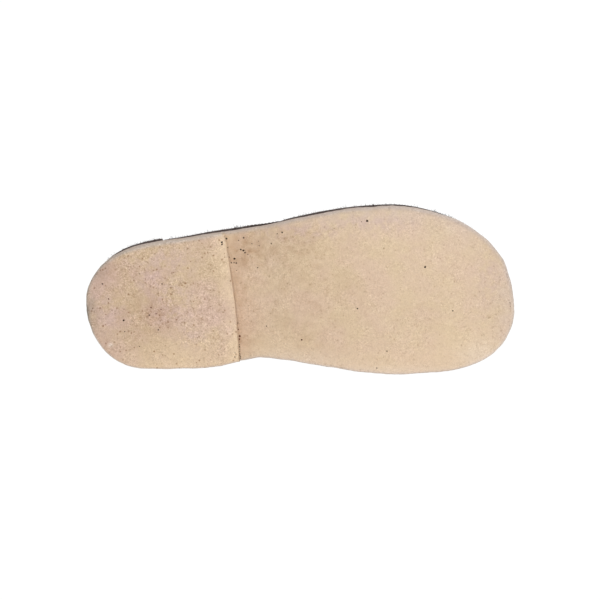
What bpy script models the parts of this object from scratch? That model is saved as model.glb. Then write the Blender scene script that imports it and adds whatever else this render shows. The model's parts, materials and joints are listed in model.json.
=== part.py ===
"""Child's right lace-up shoe with a crepe rubber sole, lying on its inner side.

Every piece is modelled on the standing shoe: heel at x = 0, toe towards +X, inner (medial)
side towards +Y, tread on z = 0. One empty carries all the pieces and lays the shoe down, so
that the sole faces -Y and the sole's inner edge and the upper's inner side rest on z = 0.
"""

import math

import bmesh
import bpy
import numpy as np
from mathutils import Matrix, Vector
from mathutils.bvhtree import BVHTree

MM = 0.001

# Driving dimensions of the standing shoe
SOLE_LENGTH = 190 * MM
OUTSOLE_THICKNESS = 6 * MM
HEEL_LIFT = 6.5 * MM
INSOLE_THICKNESS = 3 * MM
UPPER_WALL = 1.8 * MM
QUARTER_THICKNESS = 1.2 * MM
COUNTER_THICKNESS = 0.6 * MM
TONGUE_THICKNESS = 2 * MM
CLEARANCE = 0.3 * MM
SOLE_EDGE_ROUNDING = 0.9 * MM
INSOLE_GAP = 0.9 * MM

# Signs of y on the two sides of a right shoe
LATERAL, MEDIAL = -1, 1
SIDE_NAMES = {LATERAL: "lateral", MEDIAL: "medial"}


def table(names, *rows):
    """A short table with named columns, a row for each station."""
    return np.array(list(rows), dtype=[(name, float) for name in names.split()])


# Sole outline: half widths in mm to each side of the axis, at shares of the length from the heel
OUTLINE = table(
    "share lateral medial",
    (0.00, 24.4, 30.0),
    (0.10, 24.6, 30.0),
    (0.21, 27.1, 29.9),
    (0.30, 29.7, 29.0),
    (0.36, 31.4, 27.3),
    (0.41, 33.0, 25.9),
    (0.47, 35.8, 26.6),
    (0.56, 39.6, 29.0),
    (0.65, 42.1, 31.6),
    (0.72, 42.7, 32.5),
    (0.80, 42.8, 31.7),
    (1.00, 42.5, 30.4),
)

# Rounding of the outline's ends: reach as a share of the length, and exponent (2 is an ellipse)
HEEL_ROUND = {LATERAL: (0.16, 2.0), MEDIAL: (0.14, 2.0)}
TOE_ROUND = {LATERAL: (0.30, 2.0), MEDIAL: (0.20, 2.4)}

# Underside of the outsole in mm: flat on the heel lift, arched at the waist, flat at the ball, toe spring
UNDERSIDE = table(
    "share height",
    (0.00, 6.5),
    (0.37, 6.5),
    (0.41, 5.3),
    (0.46, 2.6),
    (0.51, 0.7),
    (0.55, 0.0),
    (0.80, 0.0),
    (0.87, 0.9),
    (0.94, 3.0),
    (1.00, 6.0),
)

# Breast of the heel in mm from the heel's back: slanted and slightly bowed, as seen from below
BREAST_MIDDLE, BREAST_SLANT, BREAST_BOW = 66.0 * MM, 3.3 * MM, 1.1 * MM

# Ridge line over toe, vamp and instep, carried on above the collar as the last's own cone, in mm
RIDGE = table(
    "from_heel height",
    (20, 93.0),
    (40, 92.0),
    (60, 88.0),
    (80, 79.5),
    (100, 68.5),
    (124, 56.0),
    (140, 50.5),
    (155, 47.0),
    (170, 44.0),
    (182, 41.0),
    (192, 38.0),
)
RIDGE_BACK, RIDGE_FRONT = 30 * MM, 148 * MM

# Cross-sections of the last along the sole: sideways shift of the ridge in mm (+ is medial), roundness
# of the section (2 is an ellipse), and on each side the feather line's set-in and the wall's swell in mm
SECTIONS = table(
    "share ridge_shift roundness lateral_in medial_in lateral_swell medial_swell",
    (0.00, 2.0, 2.00, 3.8, 3.8, 1.0, 1.0),
    (0.20, 0.5, 2.00, 3.6, 4.8, 1.2, 1.4),
    (0.39, -2.4, 1.95, 2.6, 3.6, 1.1, 0.5),
    (0.44, -2.8, 1.95, 1.4, 3.5, 1.0, 0.5),
    (0.62, -3.2, 1.97, 1.1, 2.6, 1.0, 0.4),
    (0.75, -3.0, 2.05, 1.0, 2.4, 0.9, 0.4),
    (0.88, -2.0, 2.12, 1.3, 2.0, 0.6, 0.6),
    (1.00, -0.6, 2.20, 1.8, 1.8, 0.6, 0.6),
)
SWELL_HEIGHT = 10 * MM

# Collar line in mm, seen from the side; the inner side stands a little higher
TOPLINE = table(
    "from_heel height",
    (0, 66.5),
    (9, 65.0),
    (18, 61.5),
    (30, 57.5),
    (45, 55.5),
    (58, 58.5),
    (70, 65.5),
    (80, 73.5),
    (90, 84.0),
    (100, 100.0),
)
MEDIAL_RISE = 1.5 * MM

# Throat between the facings: half gap at its top, half gap near its round front end
COLLAR_DIP, THROAT_BACK, THROAT_FRONT = 45 * MM, 82 * MM, 124 * MM
THROAT_TOP_GAP, THROAT_LOW_GAP = 8.5 * MM, 5.5 * MM
FACING_CORNER = 5 * MM

# Front edges of the overlays, as shares of the sole's length, at shares of the wall's height
QUARTER_FRONT = table(
    "rise share",
    (0.00, 0.350),
    (0.30, 0.425),
    (0.60, 0.600),
    (0.85, 0.745),
    (1.00, 0.740),
)
COUNTER_FRONT = table("rise share", (0.00, 0.179), (0.50, 0.160), (1.00, 0.095))
BACK_SEAM = 0.0015

# Tongue: ends on the ridge, and half widths there
TONGUE_TOP, TONGUE_ROOT = 63 * MM, 140 * MM
TONGUE_TOP_WIDTH, TONGUE_ROOT_WIDTH = 13 * MM, 15 * MM
TONGUE_TOP_ROUNDING, TONGUE_ROOT_ROUNDING = 9 * MM, 14 * MM
TONGUE_END_CURVE = 1.8
TONGUE_FLARE, TONGUE_FLARE_REACH = 0.60, 0.24
TONGUE_GAP = 1.4 * MM

# Lacing: three pairs of eyelets and three straight bars
EYELET_STATIONS = (113 * MM, 101.5 * MM, 90 * MM)
EYELET_FROM_EDGE = 6.5 * MM
EYELET_HOLE = 2.4 * MM
EYELET_PROFILE = table(
    "radius height",
    (1.7, -3.0),
    (2.05, -3.0),
    (2.05, 0.3),
    (3.4, 0.3),
    (3.1, 0.6),
    (2.1, 0.7),
)
EYELET_SIDES = 12
PUNCH_DEPTH = 10 * MM
LACE_RADIUS = 1.2 * MM
LACE_POINTS, LACE_BEVEL = 25, 2

# Lace bar in mm: distance from the throat's edge on the facing, height above the upper's face there
LACE_BEND = table(
    "from_edge height",
    (6.5, -0.7),
    (6.5, 2.0),
    (6.1, 3.2),
    (4.5, 3.8),
    (2.4, 3.5),
    (0.0, 3.1),
)
LACE_CROWN = 0.5 * MM

# Steps of the grids: columns run along the shoe, rows run across the sole or up the wall
SOLE_STEPS, HEEL_STEPS, INSOLE_STEPS, TONGUE_STEPS = (36, 4), (12, 8), (36, 2), (12, 10)
UPPER_ROWS = 8
TRIM_COLUMNS, TRIM_ROWS, TONGUE_STATIONS = 801, 601, 61
EDGE_SEGMENTS = 2
ROUNDED_ANGLE, SHARP_ANGLE = math.radians(50), math.radians(40)
MERGE = 0.01 * MM
SLOPE_STEP = 0.002

# Columns of the upper's grid on one side, counted from the back seam: along the counter's front edge,
# at the facing's corner, along the quarter's front edge, at the toe
COUNTER_COLUMN, CORNER_COLUMN, QUARTER_COLUMN, TOE_COLUMN = 9, 15, 25, 39
CORNER_SHARE, TOE_CROWDING = 0.43, 1.3

# The shoe's centre of mass, standing, and the rounds taken to find the face it lies on
BALANCE_POINT = (85.5 * MM, -2 * MM, 17 * MM)
SETTLE_ROUNDS = 3

CREPE = ("crepe_rubber", (0.70, 0.53, 0.37), 0.85, 0.0)
SUEDE = ("dark_suede", (0.069, 0.048, 0.045), 0.95, 0.0)
LINING = ("lining_leather", (0.52, 0.38, 0.25), 0.70, 0.0)
LACE = ("lace_cord", (0.060, 0.042, 0.038), 0.90, 0.0)
EYELET = ("eyelet_metal", (0.10, 0.085, 0.075), 0.45, 0.9)


def smooth(stations, values, at):
    """Monotone cubic curve through the values at the stations, read at the given places."""
    step = np.diff(stations)
    secant = np.diff(values) / step
    tangent = np.zeros(len(values))
    both = secant[:-1] * secant[1:]
    turning = both <= 0
    tangent[1:-1] = np.where(turning, 0, 2 * both / np.where(turning, 1, secant[:-1] + secant[1:]))
    tangent[0], tangent[-1] = secant[0], secant[-1]
    at = np.clip(at, stations[0], stations[-1])
    i = np.clip(np.searchsorted(stations, at, side="right") - 1, 0, len(step) - 1)
    t = (at - stations[i]) / step[i]
    rise = values[i] + (values[i + 1] - values[i]) * t * t * (3 - 2 * t)
    return rise + step[i] * t * (1 - t) * (tangent[i] * (1 - t) - tangent[i + 1] * t)


def half_width(side, share):
    """Distance from the sole's axis to its edge: the table, closed by a round heel and a round toe."""
    width = smooth(OUTLINE["share"], OUTLINE[SIDE_NAMES[side]], share) * MM
    reach, power = HEEL_ROUND[side]
    back = np.clip(1 - share / reach, 0, 1)
    width = width * (1 - back**power) ** (1 / power)
    reach, power = TOE_ROUND[side]
    front = np.clip(1 - (1 - share) / reach, 0, 1)
    return width * (1 - front**power) ** (1 / power)


def share_of(along):
    """Share of the sole's length for a place along its edge; even steps crowd at heel and toe."""
    return (1 - np.cos(np.pi * along)) / 2


def along_of(share):
    return np.arccos(1 - 2 * np.asarray(share)) / np.pi


def ridge_along(x):
    """Place along the sole's edge of the wall line that ends on the ridge at x."""
    return along_of((x - RIDGE_BACK) / (RIDGE_FRONT - RIDGE_BACK))


def edge(side, along):
    """Plan points of the sole's edge and its outward directions, from heel back to toe tip."""

    def point(a):
        share = share_of(a)
        return np.stack([SOLE_LENGTH * share, side * half_width(side, share)], -1)

    run = point(np.clip(along + SLOPE_STEP, 0, 1)) - point(np.clip(along - SLOPE_STEP, 0, 1))
    run[along <= 0] = (0, side)
    run[along >= 1] = (0, -side)
    run /= np.linalg.norm(run, axis=-1, keepdims=True)
    return point(along), side * np.stack([-run[..., 1], run[..., 0]], -1)


def underside(share):
    return smooth(UNDERSIDE["share"], UNDERSIDE["height"], share) * MM


def section(name, share):
    return smooth(SECTIONS["share"], SECTIONS[name], share)


def feather_set_in(side, share):
    """How far the upper's lower edge stands in from the sole's edge."""
    return section(f"{SIDE_NAMES[side]}_in", share) * MM


def ridge_height(x):
    return smooth(RIDGE["from_heel"], RIDGE["height"], x / MM) * MM


def wall(side, along, rise):
    """The upper's outer face on one side: from the feather line (rise 0) over to the ridge (rise 1).

    Each wall line leaves the sole's edge upright and arrives level at the ridge, as a quarter of
    a rounded section, with a soft hump of swell above the feather line.
    """
    share = share_of(along)
    plan, outward = edge(side, along)
    feather = plan - feather_set_in(side, share)[..., None] * outward
    foot = underside(share) + OUTSOLE_THICKNESS + CLEARANCE
    ridge = np.stack(
        [
            RIDGE_BACK + (RIDGE_FRONT - RIDGE_BACK) * share,
            section("ridge_shift", share) * MM,
        ],
        -1,
    )
    roundness = section("roundness", share)
    turn = rise * np.pi / 2
    inward = 1 - np.cos(turn) ** (2 / roundness)
    upward = np.sin(turn)
    height = (ridge_height(ridge[..., 0]) - foot) * upward
    hump = (height / SWELL_HEIGHT * np.exp(1 - height / SWELL_HEIGHT)) ** 2
    swell = section(f"{SIDE_NAMES[side]}_swell", share) * MM * hump * np.cos(turn) ** 2
    place = feather + inward[..., None] * (ridge - feather) + swell[..., None] * outward
    top = ridge_height(place[..., 0])
    return np.concatenate([place, (foot + (top - foot) * upward)[..., None]], -1)


def last(turn, rise):
    """The upper's outer face all round: turn runs from the toe (-1) along the lateral side to the
    back seam (0) and along the medial side to the toe (1)."""
    turn, rise = np.broadcast_arrays(np.asarray(turn, float), np.asarray(rise, float))
    lateral = wall(LATERAL, np.abs(turn), rise)
    medial = wall(MEDIAL, np.abs(turn), rise)
    return np.where((turn < 0)[..., None], lateral, medial)


def outward_of(turn, rise):
    """Unit normals of the upper's outer face, from its two slopes."""
    turn, rise = np.broadcast_arrays(np.asarray(turn, float), np.asarray(rise, float))
    low, high = np.clip(turn - SLOPE_STEP, -1, 1), np.clip(turn + SLOPE_STEP, -1, 1)
    along = last(high, rise) - last(low, rise)
    up = last(turn, np.clip(rise + SLOPE_STEP, 0, 1)) - last(turn, np.clip(rise - SLOPE_STEP, 0, 1))
    at_ridge = rise > 1 - SLOPE_STEP
    sideways = np.array((0.0, 1.0, 0.0)) * np.where(turn < 0, 1, -1)[..., None]
    up = np.where(at_ridge[..., None] & (np.abs(turn) < 1)[..., None], sideways, up)
    normal = np.cross(up, along)
    normal /= np.linalg.norm(normal, axis=-1, keepdims=True)
    return np.where((np.abs(turn) >= 1)[..., None], toe_normal(rise), normal)


def toe_normal(rise):
    """Normal on the toe's middle line, which lies in the shoe's long plane."""
    rise = np.asarray(rise, float)
    tip = np.ones_like(rise)
    above = wall(MEDIAL, tip, np.clip(rise + SLOPE_STEP, 0, 1))
    up = above - wall(MEDIAL, tip, np.clip(rise - SLOPE_STEP, 0, 1))
    normal = np.stack([up[..., 2], np.zeros_like(rise), -up[..., 0]], -1)
    return normal / np.linalg.norm(normal, axis=-1, keepdims=True)


def raised(turn, rise, height):
    """The upper's outer face moved out by a height, or in where the height is negative."""
    return last(turn, rise) + height * outward_of(turn, rise)


def throat_gap(x):
    """Half width of the throat: widest at the collar, closing in a round front end.

    Behind the collar's dip it is negative, as no throat is cut there.
    """
    share = np.clip((x - THROAT_BACK) / (THROAT_FRONT - THROAT_BACK), 0, 1)
    gap = THROAT_TOP_GAP + (THROAT_LOW_GAP - THROAT_TOP_GAP) * share
    end = np.clip((x - THROAT_FRONT + THROAT_LOW_GAP) / THROAT_LOW_GAP, 0, 1)
    return np.where(x > COLLAR_DIP, gap * np.sqrt(1 - end**2), -gap)


def from_ridge(points):
    """Sideways distance of points from the ridge line above them."""
    share = np.clip((points[..., 0] - RIDGE_BACK) / (RIDGE_FRONT - RIDGE_BACK), 0, 1)
    return np.abs(points[..., 1] - section("ridge_shift", share) * MM)


def first_rise(turn, outside):
    """For each wall line, the rise at which outside(points) first turns positive, or 1."""
    rise = np.linspace(0, 1, TRIM_ROWS)
    value = outside(last(turn[:, None], rise[None, :]))
    past = value > 0
    at = np.argmax(past, axis=1)
    row = np.arange(len(turn))
    before, after = value[row, np.maximum(at - 1, 0)], value[row, at]
    part = np.where(past.any(axis=1), before / np.where(before == after, 1, before - after), 0)
    return np.where(past.any(axis=1), (at - 1 + part) / (TRIM_ROWS - 1), 1.0)


def outside_upper(points):
    """Positive above the collar line or inside the throat, with a round corner between the two."""
    x, y, z = np.moveaxis(points, -1, 0)
    collar = smooth(TOPLINE["from_heel"], TOPLINE["height"], x / MM) * MM
    above = z - collar - np.where(y > 0, MEDIAL_RISE, 0) * np.clip(x / THROAT_BACK, 0, 1)
    inside = throat_gap(x) - from_ridge(points)
    blend = np.clip(0.5 + 0.5 * (above - inside) / FACING_CORNER, 0, 1)
    return inside + (above - inside) * blend + FACING_CORNER * blend * (1 - blend)


TRIM_TURN = np.linspace(-1, 1, TRIM_COLUMNS)
TRIM_RISE = first_rise(TRIM_TURN, outside_upper)


def top_rise(turn):
    """Rise at which the upper ends: at the collar, at the throat's edge, or on the closed ridge."""
    return np.interp(turn, TRIM_TURN, TRIM_RISE)


def material(name, color, roughness, metallic):
    found = bpy.data.materials.get(name)
    if found:
        return found
    made = bpy.data.materials.new(name)
    made.use_nodes = True
    shader = made.node_tree.nodes["Principled BSDF"]
    shader.inputs["Base Color"].default_value = (*color, 1)
    shader.inputs["Roughness"].default_value = roughness
    shader.inputs["Metallic"].default_value = metallic
    return made


def add_object(name, data, finish, collection, parent):
    data.materials.append(material(*finish))
    made = bpy.data.objects.new(name, data)
    collection.objects.link(made)
    made.parent = parent
    return made


def bent_grid(name, columns, rows, surface):
    """A grid mesh of columns by rows steps, bent onto surface(s, t), with s and t from 0 to 1."""
    bm = bmesh.new()
    bmesh.ops.create_grid(bm, x_segments=columns, y_segments=rows, size=0.5)
    flat = np.array([vert.co for vert in bm.verts]) + 0.5
    for vert, place in zip(bm.verts, surface(flat[:, 0], flat[:, 1])):
        vert.co = place
    bmesh.ops.remove_doubles(bm, verts=bm.verts, dist=MERGE)
    bmesh.ops.dissolve_degenerate(bm, edges=bm.edges, dist=MERGE)
    mesh = bpy.data.meshes.new(name)
    bm.to_mesh(mesh)
    bm.free()
    mesh.shade_smooth()
    return mesh


def thicken(obj, thickness, inward=False):
    """Gives an open surface its wall, outwards or inwards from where it is."""
    modifier = obj.modifiers.new("wall", "SOLIDIFY")
    modifier.thickness = thickness
    modifier.offset = -1 if inward else 1
    modifier = obj.modifiers.new("plain_faces", "TRIANGULATE")
    modifier.quad_method = "SHORTEST_DIAGONAL"


def round_edges(obj, width):
    modifier = obj.modifiers.new("edge_rounding", "BEVEL")
    modifier.width = width
    modifier.segments = EDGE_SEGMENTS
    modifier.limit_method = "ANGLE"
    modifier.angle_limit = ROUNDED_ANGLE


def slab(name, steps, station, height, thickness, set_in=0.0):
    """A sheet of the sole's outline, lifted to height(x) and drawn up by its thickness.

    station(s, t) gives the place along the sole, and t runs across it. With a set-in the sheet keeps
    that distance inside the upper's lower edge.
    """

    def surface(s, t):
        share = np.clip(station(s, t) / SOLE_LENGTH, 0, 1)
        sides = []
        for side in (LATERAL, MEDIAL):
            point, outward = edge(side, along_of(share))
            inward = np.where(set_in > 0, feather_set_in(side, share) + set_in, 0)
            sides.append(point - inward[:, None] * outward)
        across = sides[0] * (1 - t)[:, None] + sides[1] * t[:, None]
        return np.column_stack([across, height(across[:, 0])])

    mesh = bent_grid(name, *steps, surface)
    bm = bmesh.new()
    bm.from_mesh(mesh)
    drawn = bmesh.ops.extrude_face_region(bm, geom=bm.faces[:])["geom"]
    top = [item for item in drawn if isinstance(item, bmesh.types.BMVert)]
    bmesh.ops.translate(bm, verts=top, vec=(0, 0, thickness))
    bmesh.ops.recalc_face_normals(bm, faces=bm.faces)
    bm.to_mesh(mesh)
    bm.free()
    mesh.set_sharp_from_angle(angle=SHARP_ANGLE)
    return mesh


def full_length(s, t):
    return SOLE_LENGTH * share_of(s)


def make_outsole():
    """Full-length crepe sheet with the waist's arch and the toe spring."""

    def height(x):
        return underside(x / SOLE_LENGTH)

    return slab("outsole", SOLE_STEPS, full_length, height, OUTSOLE_THICKNESS)


def make_heel():
    """Crepe lift under the heel, ending in the slanted breast."""

    def station(s, t):
        across = 2 * t - 1
        breast = BREAST_MIDDLE + BREAST_SLANT * across - BREAST_BOW * across**2
        return breast * (1 - np.cos(s * np.pi / 2))

    return slab("heel", HEEL_STEPS, station, np.zeros_like, HEEL_LIFT - CLEARANCE)


def make_insole():
    """Footbed inside the upper's wall, on the outsole."""

    def height(x):
        return underside(x / SOLE_LENGTH) + OUTSOLE_THICKNESS + CLEARANCE

    return slab("insole", INSOLE_STEPS, full_length, height, INSOLE_THICKNESS, UPPER_WALL + INSOLE_GAP)


def front_edge(edge_table, up):
    return along_of(smooth(edge_table["rise"], edge_table["share"], up))


def column_place(column, up):
    """Place along the sole's edge of the upper's columns; two of them follow the front edges of the
    counter and of the quarter."""
    heel, front = front_edge(COUNTER_FRONT, up), front_edge(QUARTER_FRONT, up)
    corner = heel + (front - heel) * CORNER_SHARE
    in_heel = np.clip(column / COUNTER_COLUMN, 0, 1)
    in_side = np.clip((column - COUNTER_COLUMN) / (CORNER_COLUMN - COUNTER_COLUMN), 0, 1)
    in_facing = np.clip((column - CORNER_COLUMN) / (QUARTER_COLUMN - CORNER_COLUMN), 0, 1)
    ahead = np.clip((column - QUARTER_COLUMN) / (TOE_COLUMN - QUARTER_COLUMN), 0, 1)
    behind = heel * in_heel + (corner - heel) * in_side + (front - corner) * in_facing
    return behind + (1 - front) * ahead**TOE_CROWDING


def row_rise(t):
    """Share of the wall's rise for a row; rows draw closer at the feather line and at the top."""
    return (t + share_of(t)) / 2


def make_upper():
    """Vamp and lining shell, open at the collar, the throat and underneath."""

    def surface(s, t):
        up = row_rise(t)
        column = (1 - 2 * s) * TOE_COLUMN
        turn = np.sign(column) * column_place(np.abs(column), up)
        return last(turn, up * top_rise(turn))

    return bent_grid("upper", 2 * TOE_COLUMN, UPPER_ROWS, surface)


def make_quarter(side):
    """Quarter with its facing, laid over the upper from the back seam to its front edge."""

    def surface(s, t):
        up = row_rise(t)
        column = (s if side == LATERAL else 1 - s) * QUARTER_COLUMN
        turn = side * np.maximum(column_place(column, up), BACK_SEAM)
        return raised(turn, up * top_rise(turn), CLEARANCE)

    return bent_grid("quarter", QUARTER_COLUMN, UPPER_ROWS, surface)


def make_counter():
    """Heel counter, over the back seam and the ends of both quarters."""

    def surface(s, t):
        up = row_rise(t)
        column = (1 - 2 * s) * COUNTER_COLUMN
        turn = np.sign(column) * column_place(np.abs(column), up)
        return raised(turn, up * top_rise(turn), QUARTER_THICKNESS + 2 * CLEARANCE)

    return bent_grid("counter", 2 * COUNTER_COLUMN, UPPER_ROWS, surface)


def make_tongue():
    """Tongue under the facings, from beneath the vamp to above the collar, where its sides flare up."""
    stations = np.linspace(TONGUE_TOP, TONGUE_ROOT, TONGUE_STATIONS)
    widths = np.linspace(TONGUE_TOP_WIDTH, TONGUE_ROOT_WIDTH, TONGUE_STATIONS)
    edges = {
        side: first_rise(side * ridge_along(stations), lambda p: widths[:, None] - from_ridge(p))
        for side in (LATERAL, MEDIAL)
    }

    def surface(s, t):
        across = np.abs(2 * t - 1)
        rounding = TONGUE_TOP_ROUNDING * (1 - s) - TONGUE_ROOT_ROUNDING * s
        x = TONGUE_TOP + (TONGUE_ROOT - TONGUE_TOP) * s + rounding * across**TONGUE_END_CURVE
        lateral, medial = (np.interp(x, stations, edges[side]) for side in (LATERAL, MEDIAL))
        low = np.where(t < 0.5, lateral, medial)
        side = np.where(t < 0.5, LATERAL, MEDIAL)
        points = raised(side * ridge_along(x), 1 - (1 - low) * across, -UPPER_WALL - TONGUE_GAP)
        crown = raised(side * ridge_along(x), np.ones_like(x), -UPPER_WALL - TONGUE_GAP)
        flare = TONGUE_FLARE * np.clip(1 - s / TONGUE_FLARE_REACH, 0, 1) ** 2
        points[:, 2] += flare * (crown - points)[:, 2]
        return points

    return bent_grid("tongue", *TONGUE_STEPS, surface)


def facing_place(side, x, from_edge, height):
    """Point above the facing, at a distance from the throat's edge, and the way the face points."""
    turn = np.array([side * ridge_along(x)])
    rise = first_rise(turn, lambda p: throat_gap(p[..., 0]) + from_edge - from_ridge(p))
    return Vector(raised(turn, rise, height)[0]), Vector(outward_of(turn, rise)[0])


def eyelet_place(side, x):
    return facing_place(side, x, EYELET_FROM_EDGE, CLEARANCE + QUARTER_THICKNESS)


def make_eyelet():
    """Rolled metal eyelet: the ring's profile, turned about the hole's axis."""
    bm = bmesh.new()
    verts = [bm.verts.new((p["radius"] * MM, 0, p["height"] * MM)) for p in EYELET_PROFILE[::-1]]
    for start, end in zip(verts, verts[1:] + verts[:1]):
        bm.edges.new((start, end))
    mesh = bpy.data.meshes.new("eyelet")
    bm.to_mesh(mesh)
    bm.free()
    return mesh


def turn_profile(obj):
    modifier = obj.modifiers.new("turned", "SCREW")
    modifier.steps = modifier.render_steps = EYELET_SIDES
    modifier.use_merge_vertices = True
    modifier.merge_threshold = MERGE


def catmull_rom(points, count):
    """Evenly numbered points on a smooth curve through the given ones."""
    points = np.array(points)
    padded = np.vstack([2 * points[0] - points[1], points, 2 * points[-1] - points[-2]])
    place = np.linspace(0, len(points) - 1, count)
    i = np.minimum(place.astype(int), len(points) - 2)
    t = (place - i)[:, None]
    a, b, c, d = (padded[i + k] for k in range(4))
    return 0.5 * (2 * b + (c - a) * t + (2 * a - 5 * b + 4 * c - d) * t**2 + (3 * b - a - 3 * c + d) * t**3)


def make_lace_bar(x):
    """Straight bar of lace from one eyelet across the throat and down into the other."""
    lateral, medial = (
        [facing_place(side, x, p["from_edge"] * MM, p["height"] * MM)[0] for p in LACE_BEND]
        for side in (LATERAL, MEDIAL)
    )
    crown = (lateral[-1] + medial[-1]) / 2
    crown.z += LACE_CROWN
    curve = bpy.data.curves.new("lace_bar", "CURVE")
    curve.dimensions = "3D"
    curve.bevel_depth = LACE_RADIUS
    curve.bevel_resolution = LACE_BEVEL
    curve.use_fill_caps = True
    spline = curve.splines.new("POLY")
    path = catmull_rom([*lateral, crown, *medial[::-1]], LACE_POINTS)
    spline.points.add(len(path) - 1)
    for point, place in zip(spline.points, path):
        point.co = (*place, 1)
    return curve


def make_punch(places):
    """Cutter with a round bar through each of the given eyelet places."""
    bm = bmesh.new()
    for centre, axis in places:
        turned = axis.to_track_quat("Z", "Y").to_matrix().to_4x4()
        bmesh.ops.create_cone(
            bm,
            cap_ends=True,
            segments=EYELET_SIDES,
            radius1=EYELET_HOLE,
            radius2=EYELET_HOLE,
            depth=PUNCH_DEPTH,
            matrix=Matrix.Translation(centre) @ turned,
        )
    mesh = bpy.data.meshes.new("punch")
    bm.to_mesh(mesh)
    bm.free()
    return mesh


def punch(obj, cutter):
    modifier = obj.modifiers.new("lace_holes", "BOOLEAN")
    modifier.operation = "DIFFERENCE"
    modifier.object = cutter


def lying_matrix(objects):
    """Turns the shoe onto its inner side, on the hull's face below the balance point, and sets the
    middle of its footprint at the origin."""
    graph = bpy.context.evaluated_depsgraph_get()
    points = []
    for obj in objects:
        shape = obj.evaluated_get(graph).to_mesh()
        points += [vert.co.copy() for vert in shape.vertices]
    bm = bmesh.new()
    for point in points:
        bm.verts.new(point)
    bmesh.ops.convex_hull(bm, input=bm.verts)
    bmesh.ops.recalc_face_normals(bm, faces=bm.faces)
    hull = BVHTree.FromBMesh(bm)
    down = Vector((0, MEDIAL, 0))
    for _ in range(SETTLE_ROUNDS):
        down = hull.ray_cast(Vector(BALANCE_POINT), down)[1]
    bm.free()
    rolled = Matrix.Rotation(-math.pi / 2, 4, "X")
    settled = (rolled @ down).rotation_difference(Vector((0, 0, -1))).to_matrix().to_4x4()
    turned = settled @ rolled
    corners = np.array([turned @ point for point in points])
    low, high = corners.min(axis=0), corners.max(axis=0)
    foot = Vector((-(low[0] + high[0]) / 2, -(low[1] + high[1]) / 2, -low[2]))
    return Matrix.Translation(foot) @ turned


def main():
    for obj in list(bpy.data.objects):
        bpy.data.objects.remove(obj)
    shoe = bpy.data.collections.new("lace_up_shoe")
    cutters = bpy.data.collections.new("cutters")
    for collection in (shoe, cutters):
        bpy.context.scene.collection.children.link(collection)
    carrier = bpy.data.objects.new("shoe_carrier", None)
    shoe.objects.link(carrier)

    for name, mesh in (("outsole", make_outsole()), ("heel", make_heel())):
        round_edges(add_object(name, mesh, CREPE, shoe, carrier), SOLE_EDGE_ROUNDING)
    add_object("insole", make_insole(), LINING, shoe, carrier)

    upper = add_object("upper", make_upper(), SUEDE, shoe, carrier)
    thicken(upper, UPPER_WALL, inward=True)
    tongue = add_object("tongue", make_tongue(), SUEDE, shoe, carrier)
    thicken(tongue, TONGUE_THICKNESS, inward=True)
    counter = add_object("counter", make_counter(), SUEDE, shoe, carrier)
    thicken(counter, COUNTER_THICKNESS)

    for side, label in SIDE_NAMES.items():
        places = [eyelet_place(side, x) for x in EYELET_STATIONS]
        cutter = add_object(f"punch_{label}", make_punch(places), EYELET, cutters, carrier)
        cutter.hide_render = True
        cutter.display_type = "WIRE"
        quarter = add_object(f"quarter_{label}", make_quarter(side), SUEDE, shoe, carrier)
        thicken(quarter, QUARTER_THICKNESS)
        punch(quarter, cutter)
        punch(upper, cutter)
        for number, (centre, axis) in enumerate(places, 1):
            eyelet = add_object(f"eyelet_{label}_{number}", make_eyelet(), EYELET, shoe, carrier)
            eyelet.location = centre
            eyelet.rotation_mode = "QUATERNION"
            eyelet.rotation_quaternion = axis.to_track_quat("Z", "Y")
            turn_profile(eyelet)

    for number, x in enumerate(EYELET_STATIONS, 1):
        add_object(f"lace_bar_{number}", make_lace_bar(x), LACE, shoe, carrier)

    bpy.context.view_layer.update()
    resting = [obj for obj in shoe.objects if obj.type == "MESH" and not obj.name.startswith("eyelet")]
    carrier.matrix_world = lying_matrix(resting)


main()
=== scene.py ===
import json

import bmesh
import bpy
import numpy as np
from mathutils import Matrix, Vector


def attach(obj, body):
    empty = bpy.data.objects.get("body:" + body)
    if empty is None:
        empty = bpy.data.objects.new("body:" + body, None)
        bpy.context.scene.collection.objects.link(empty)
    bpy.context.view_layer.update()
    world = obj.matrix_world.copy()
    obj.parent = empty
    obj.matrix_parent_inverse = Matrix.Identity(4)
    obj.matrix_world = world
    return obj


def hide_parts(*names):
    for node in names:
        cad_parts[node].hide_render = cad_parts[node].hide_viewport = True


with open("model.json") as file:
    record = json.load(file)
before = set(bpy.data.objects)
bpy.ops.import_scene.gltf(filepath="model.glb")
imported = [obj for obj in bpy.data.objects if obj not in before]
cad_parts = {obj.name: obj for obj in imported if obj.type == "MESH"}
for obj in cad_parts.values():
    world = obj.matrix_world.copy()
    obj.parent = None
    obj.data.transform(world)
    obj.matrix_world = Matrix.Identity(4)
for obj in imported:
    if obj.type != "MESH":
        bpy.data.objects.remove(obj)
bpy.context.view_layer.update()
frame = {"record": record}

# Insole: the footbed, a thin board covered with lining leather, cut to the inside of the upper's lower
# edge and glued on the outsole. It shows only through the collar. The shoe's own frame and outline, which
# every piece follows, are worked out here: the shoe is modelled standing, in millimetres, and laid down.

MM = 0.001
LATERAL, MEDIAL = -1, 1
SIDE_NAMES = {LATERAL: "lateral", MEDIAL: "medial"}
HEEL_TREAD_X = 34.0

treads = {mount["name"]: mount for mount in frame["record"]["mounts"]}
heel_spot = np.array(treads["heel_tread"]["pos_m"])
along_axis = np.array(treads["forefoot_tread"]["pos_m"]) - heel_spot
along_axis /= np.linalg.norm(along_axis)
up_axis = -np.array(treads["heel_tread"]["axis"])
across_axis = np.cross(up_axis, along_axis)
shoe_axes = np.stack([along_axis, across_axis, up_axis])
heel_back = heel_spot - HEEL_TREAD_X * MM * along_axis


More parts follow.
